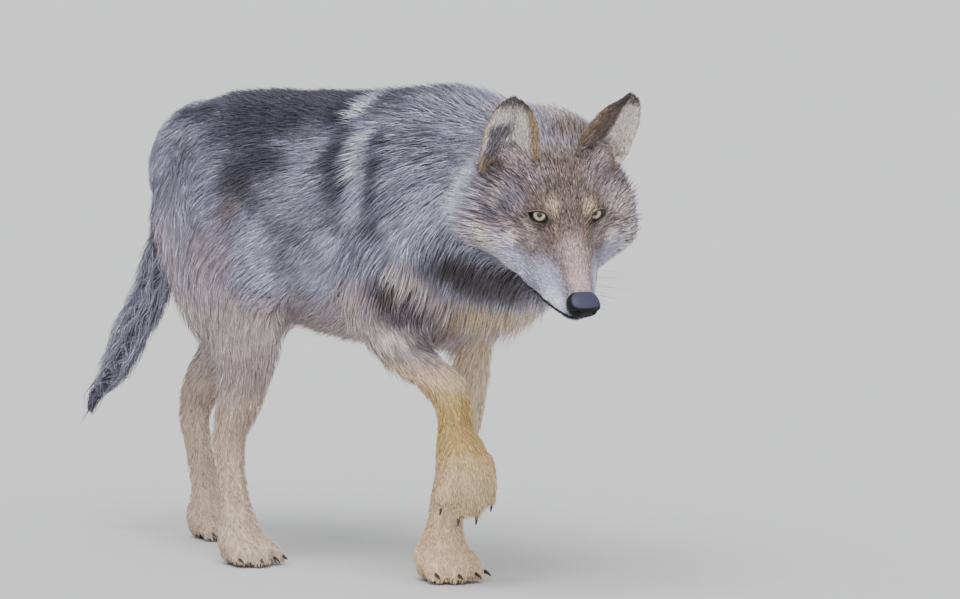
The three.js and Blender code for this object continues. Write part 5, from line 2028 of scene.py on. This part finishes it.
@dataclass
class Whiskers:
    """Fine dark whiskers on both sides of the muzzle and over the eyes.

    Attributes:
        count: how many grow on each side of the muzzle.
        root: a whisker's radius at its root, in millimetres.
    """

    skin: Skin
    count: int = 13
    root: float = 0.2

    def build(self, finish: bpy.types.Material) -> bpy.types.Object:
        """Makes all of the whiskers as one mesh.

        Args:
            finish: their material.

        Returns:
            The whiskers' object.
        """
        rng = np.random.default_rng(77)
        co = points_of(self.skin.obj)
        tree = KDTree(len(co))
        for i, p in enumerate(co):
            tree.insert(Vector(p), i)
        tree.balance()
        normals = normals_of(self.skin.obj)
        points, faces = [], []
        for side in (1, -1):
            for i in range(self.count + 2):
                if i < self.count:
                    line, spot = i % 3, i // 3
                    aim = np.array([112 - 13 * spot + 4 * line, side * 34, -44 - 9 * line + 2 * spot])
                    way = np.array([-0.35 + 0.05 * spot, side * 0.85, -0.35 - 0.12 * line])
                    length = rng.uniform(42, 72)
                else:
                    aim = np.array([-16 - 5 * (i - self.count), side * 36, 22])
                    way = np.array([-0.25, side * 0.3, 0.9])
                    length = rng.uniform(22, 32)
                _, near, _ = tree.find(Vector(row(from_head(aim[None]))[0]))
                start = body(co[near][None])[0]
                out = normals[near]
                way = unit(unit(HEAD_TURN @ way) * 0.8 + out * 0.5 + rng.normal(0, 0.08, 3))
                bend = np.array([-0.25, 0, -0.45]) * rng.uniform(0.5, 1.2)
                side_way = unit(np.cross(way, [0, 0, 1]))
                over = np.cross(side_way, way)
                base = len(points)
                steps = 7
                for k in range(steps):
                    t = k / (steps - 1)
                    mid = start - out * 1.5 + way * length * t + bend * length * 0.35 * t**2
                    wide = self.root * (1 - 0.85 * t)
                    for j in range(4):
                        a = j * math.pi / 2
                        points.append(mid + wide * (math.cos(a) * side_way + math.sin(a) * over))
                for k in range(steps - 1):
                    for j in range(4):
                        a, b = base + 4 * k + j, base + 4 * k + (j + 1) % 4
                        faces += [(a, b, b + 4), (a, b + 4, a + 4)]
                last = base + 4 * (steps - 1)
                faces += [(last, last + 1, last + 2), (last, last + 2, last + 3)]
                faces += [(base, base + 2, base + 1), (base, base + 3, base + 2)]
        obj = mesh_object("whiskers", row(np.array(points)), np.array(faces))
        put_colour(obj, np.tile(shade("6a6466"), (len(points), 1)))
        obj.data.materials.append(finish)
        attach(obj, "root")
        return obj


@dataclass
class Claws:
    """The sixteen claws, rounded from their solids."""

    feet: tuple[str, ...] = ("fore_left", "fore_right", "hind_left", "hind_right")

    def build(self, finish: bpy.types.Material) -> list[bpy.types.Object]:
        """Makes the claws."""
        made = []
        for foot in self.feet:
            for toe in range(1, 5):
                node = f"claw_{foot}_{toe}"
                obj = node_copy(node)
                obj.name = f"nail_{foot}_{toe}"
                obj.data.name = obj.name
                apply_modifier(obj, "SUBSURF", levels=2, render_levels=2)
                obj.data.materials.append(finish)
                only(obj)
                bpy.ops.object.shade_smooth()
                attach(obj, "root")
                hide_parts(node)
                made.append(obj)
        return made


# ------------------------------------------------------------------ floor, light and camera


@dataclass(frozen=True)
class Stage:
    """The pale floor, soft light and the camera.

    Attributes:
        aim: what the camera looks at, in the row frame.
        stand: where the camera stands.
        lens: its focal length for a 36 mm sensor.
    """

    aim: tuple[float, float, float] = (0.15591, 0.12390, 0.40489)
    stand: tuple[float, float, float] = (9.48752, -7.35199, 1.42087)
    lens: float = 308.25

    def build(self) -> None:
        """Makes the stage."""
        self.floor()
        self.lights()
        self.camera()

    def floor(self) -> None:
        """A wide pale floor."""
        bpy.ops.object.select_all(action="DESELECT")
        bpy.ops.mesh.primitive_circle_add(vertices=96, radius=90, fill_type="NGON")
        obj = bpy.context.view_layer.objects.active
        obj.name = "floor"
        mat = bpy.data.materials.new("floor")
        mat.use_nodes = True
        n, link = mat.node_tree.nodes, mat.node_tree.links.new
        plain = n["Principled BSDF"]
        place = n.new("ShaderNodeTexCoord")
        noise = n.new("ShaderNodeTexNoise")
        noise.inputs["Scale"].default_value = 30.0
        ramp = n.new("ShaderNodeValToRGB")
        ramp.color_ramp.elements[0].color = (0.60, 0.60, 0.59, 1)
        ramp.color_ramp.elements[1].color = (0.64, 0.64, 0.63, 1)
        link(place.outputs["Object"], noise.inputs["Vector"])
        link(noise.outputs["Fac"], ramp.inputs["Fac"])
        link(ramp.outputs["Color"], plain.inputs["Base Color"])
        plain.inputs["Roughness"].default_value = 0.85
        obj.data.materials.append(mat)

    def lights(self) -> None:
        """A soft key from the upper left, a fill and a pale room."""
        world = bpy.data.worlds.new("room")
        bpy.context.scene.world = world
        world.use_nodes = True
        world.node_tree.nodes["Background"].inputs["Color"].default_value = (0.93, 0.95, 1.0, 1)
        world.node_tree.nodes["Background"].inputs["Strength"].default_value = 0.78
        for name, way, power, angle in (
            ("key", (-0.40, 0.50, -0.85), 3.1, 40),
            ("fill", (-0.9, 0.35, -0.3), 1.7, 70),
        ):
            data = bpy.data.lights.new(name, "SUN")
            data.energy = power
            data.angle = math.radians(angle)
            lamp = bpy.data.objects.new(name, data)
            lamp.rotation_mode = "QUATERNION"
            lamp.rotation_quaternion = Vector(way).to_track_quat("-Z", "Y")
            bpy.context.scene.collection.objects.link(lamp)

    def camera(self) -> None:
        """The camera, in front and to the animal's right."""
        data = bpy.data.cameras.new("camera")
        data.lens = self.lens
        data.sensor_width = 36
        data.clip_end = 400
        cam = bpy.data.objects.new("camera", data)
        cam.location = Vector(self.stand)
        cam.rotation_mode = "QUATERNION"
        cam.rotation_quaternion = (Vector(self.aim) - Vector(self.stand)).to_track_quat("-Z", "Y")
        bpy.context.scene.collection.objects.link(cam)
        bpy.context.scene.camera = cam


def write_sizes() -> None:
    """Updates the view layer."""
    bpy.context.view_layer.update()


def main() -> None:
    """Builds the wolf and its stage, in order."""
    logging.basicConfig(level=logging.INFO, format="%(name)s: %(message)s")
    strands = strands_group()
    comb = Comb()
    markings = Markings()
    skin = Skin(comb, markings)
    obj = skin.build()
    skin.paint()
    obj.data.materials.append(CoatFinish("skin", scale=420.0, bump=0.5).build(strands))
    obj.data.polygons.foreach_set("use_smooth", np.ones(len(obj.data.polygons), bool))
    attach(obj, "root")
    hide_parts(*NODE_ZONES)
    LOG.info("skin: %d faces", len(triangles_of(obj)))
    coat = Coat(skin, comb, markings)
    coat.prepare()
    bare = coat.bare_faces()
    finish = {
        "coat_body": CoatFinish("coat_body", scale=300.0, depth=0.34).build(strands),
        "coat_face": CoatFinish("coat_face", scale=340.0, depth=0.32).build(strands),
        "coat_leg": CoatFinish("coat_leg", scale=340.0, depth=0.20).build(strands),
    }
    total = 0
    for part in COAT_PARTS:
        piece = coat.build(part, bare)
        piece.data.materials.append(finish[part.slot])
        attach(piece, "root")
        total += len(piece.data.polygons)
        LOG.info("%s: %d faces", part.name, len(piece.data.polygons))
    LOG.info("coat: %d faces in all", total)
    eye_finish = EyeFinish().build()
    for side in (1, -1):
        LOG.info("eye: %s", Eye(side).build(eye_finish).name)
    LOG.info("nose: %s", NosePad().build(NoseFinish().build()).name)
    LOG.info("whiskers: %s", Whiskers(skin).build(finish["coat_face"]).name)
    LOG.info("claws: %d", len(Claws().build(HornFinish().build())))
    Stage().build()
    write_sizes()


if __name__ == "__main__":
    main()
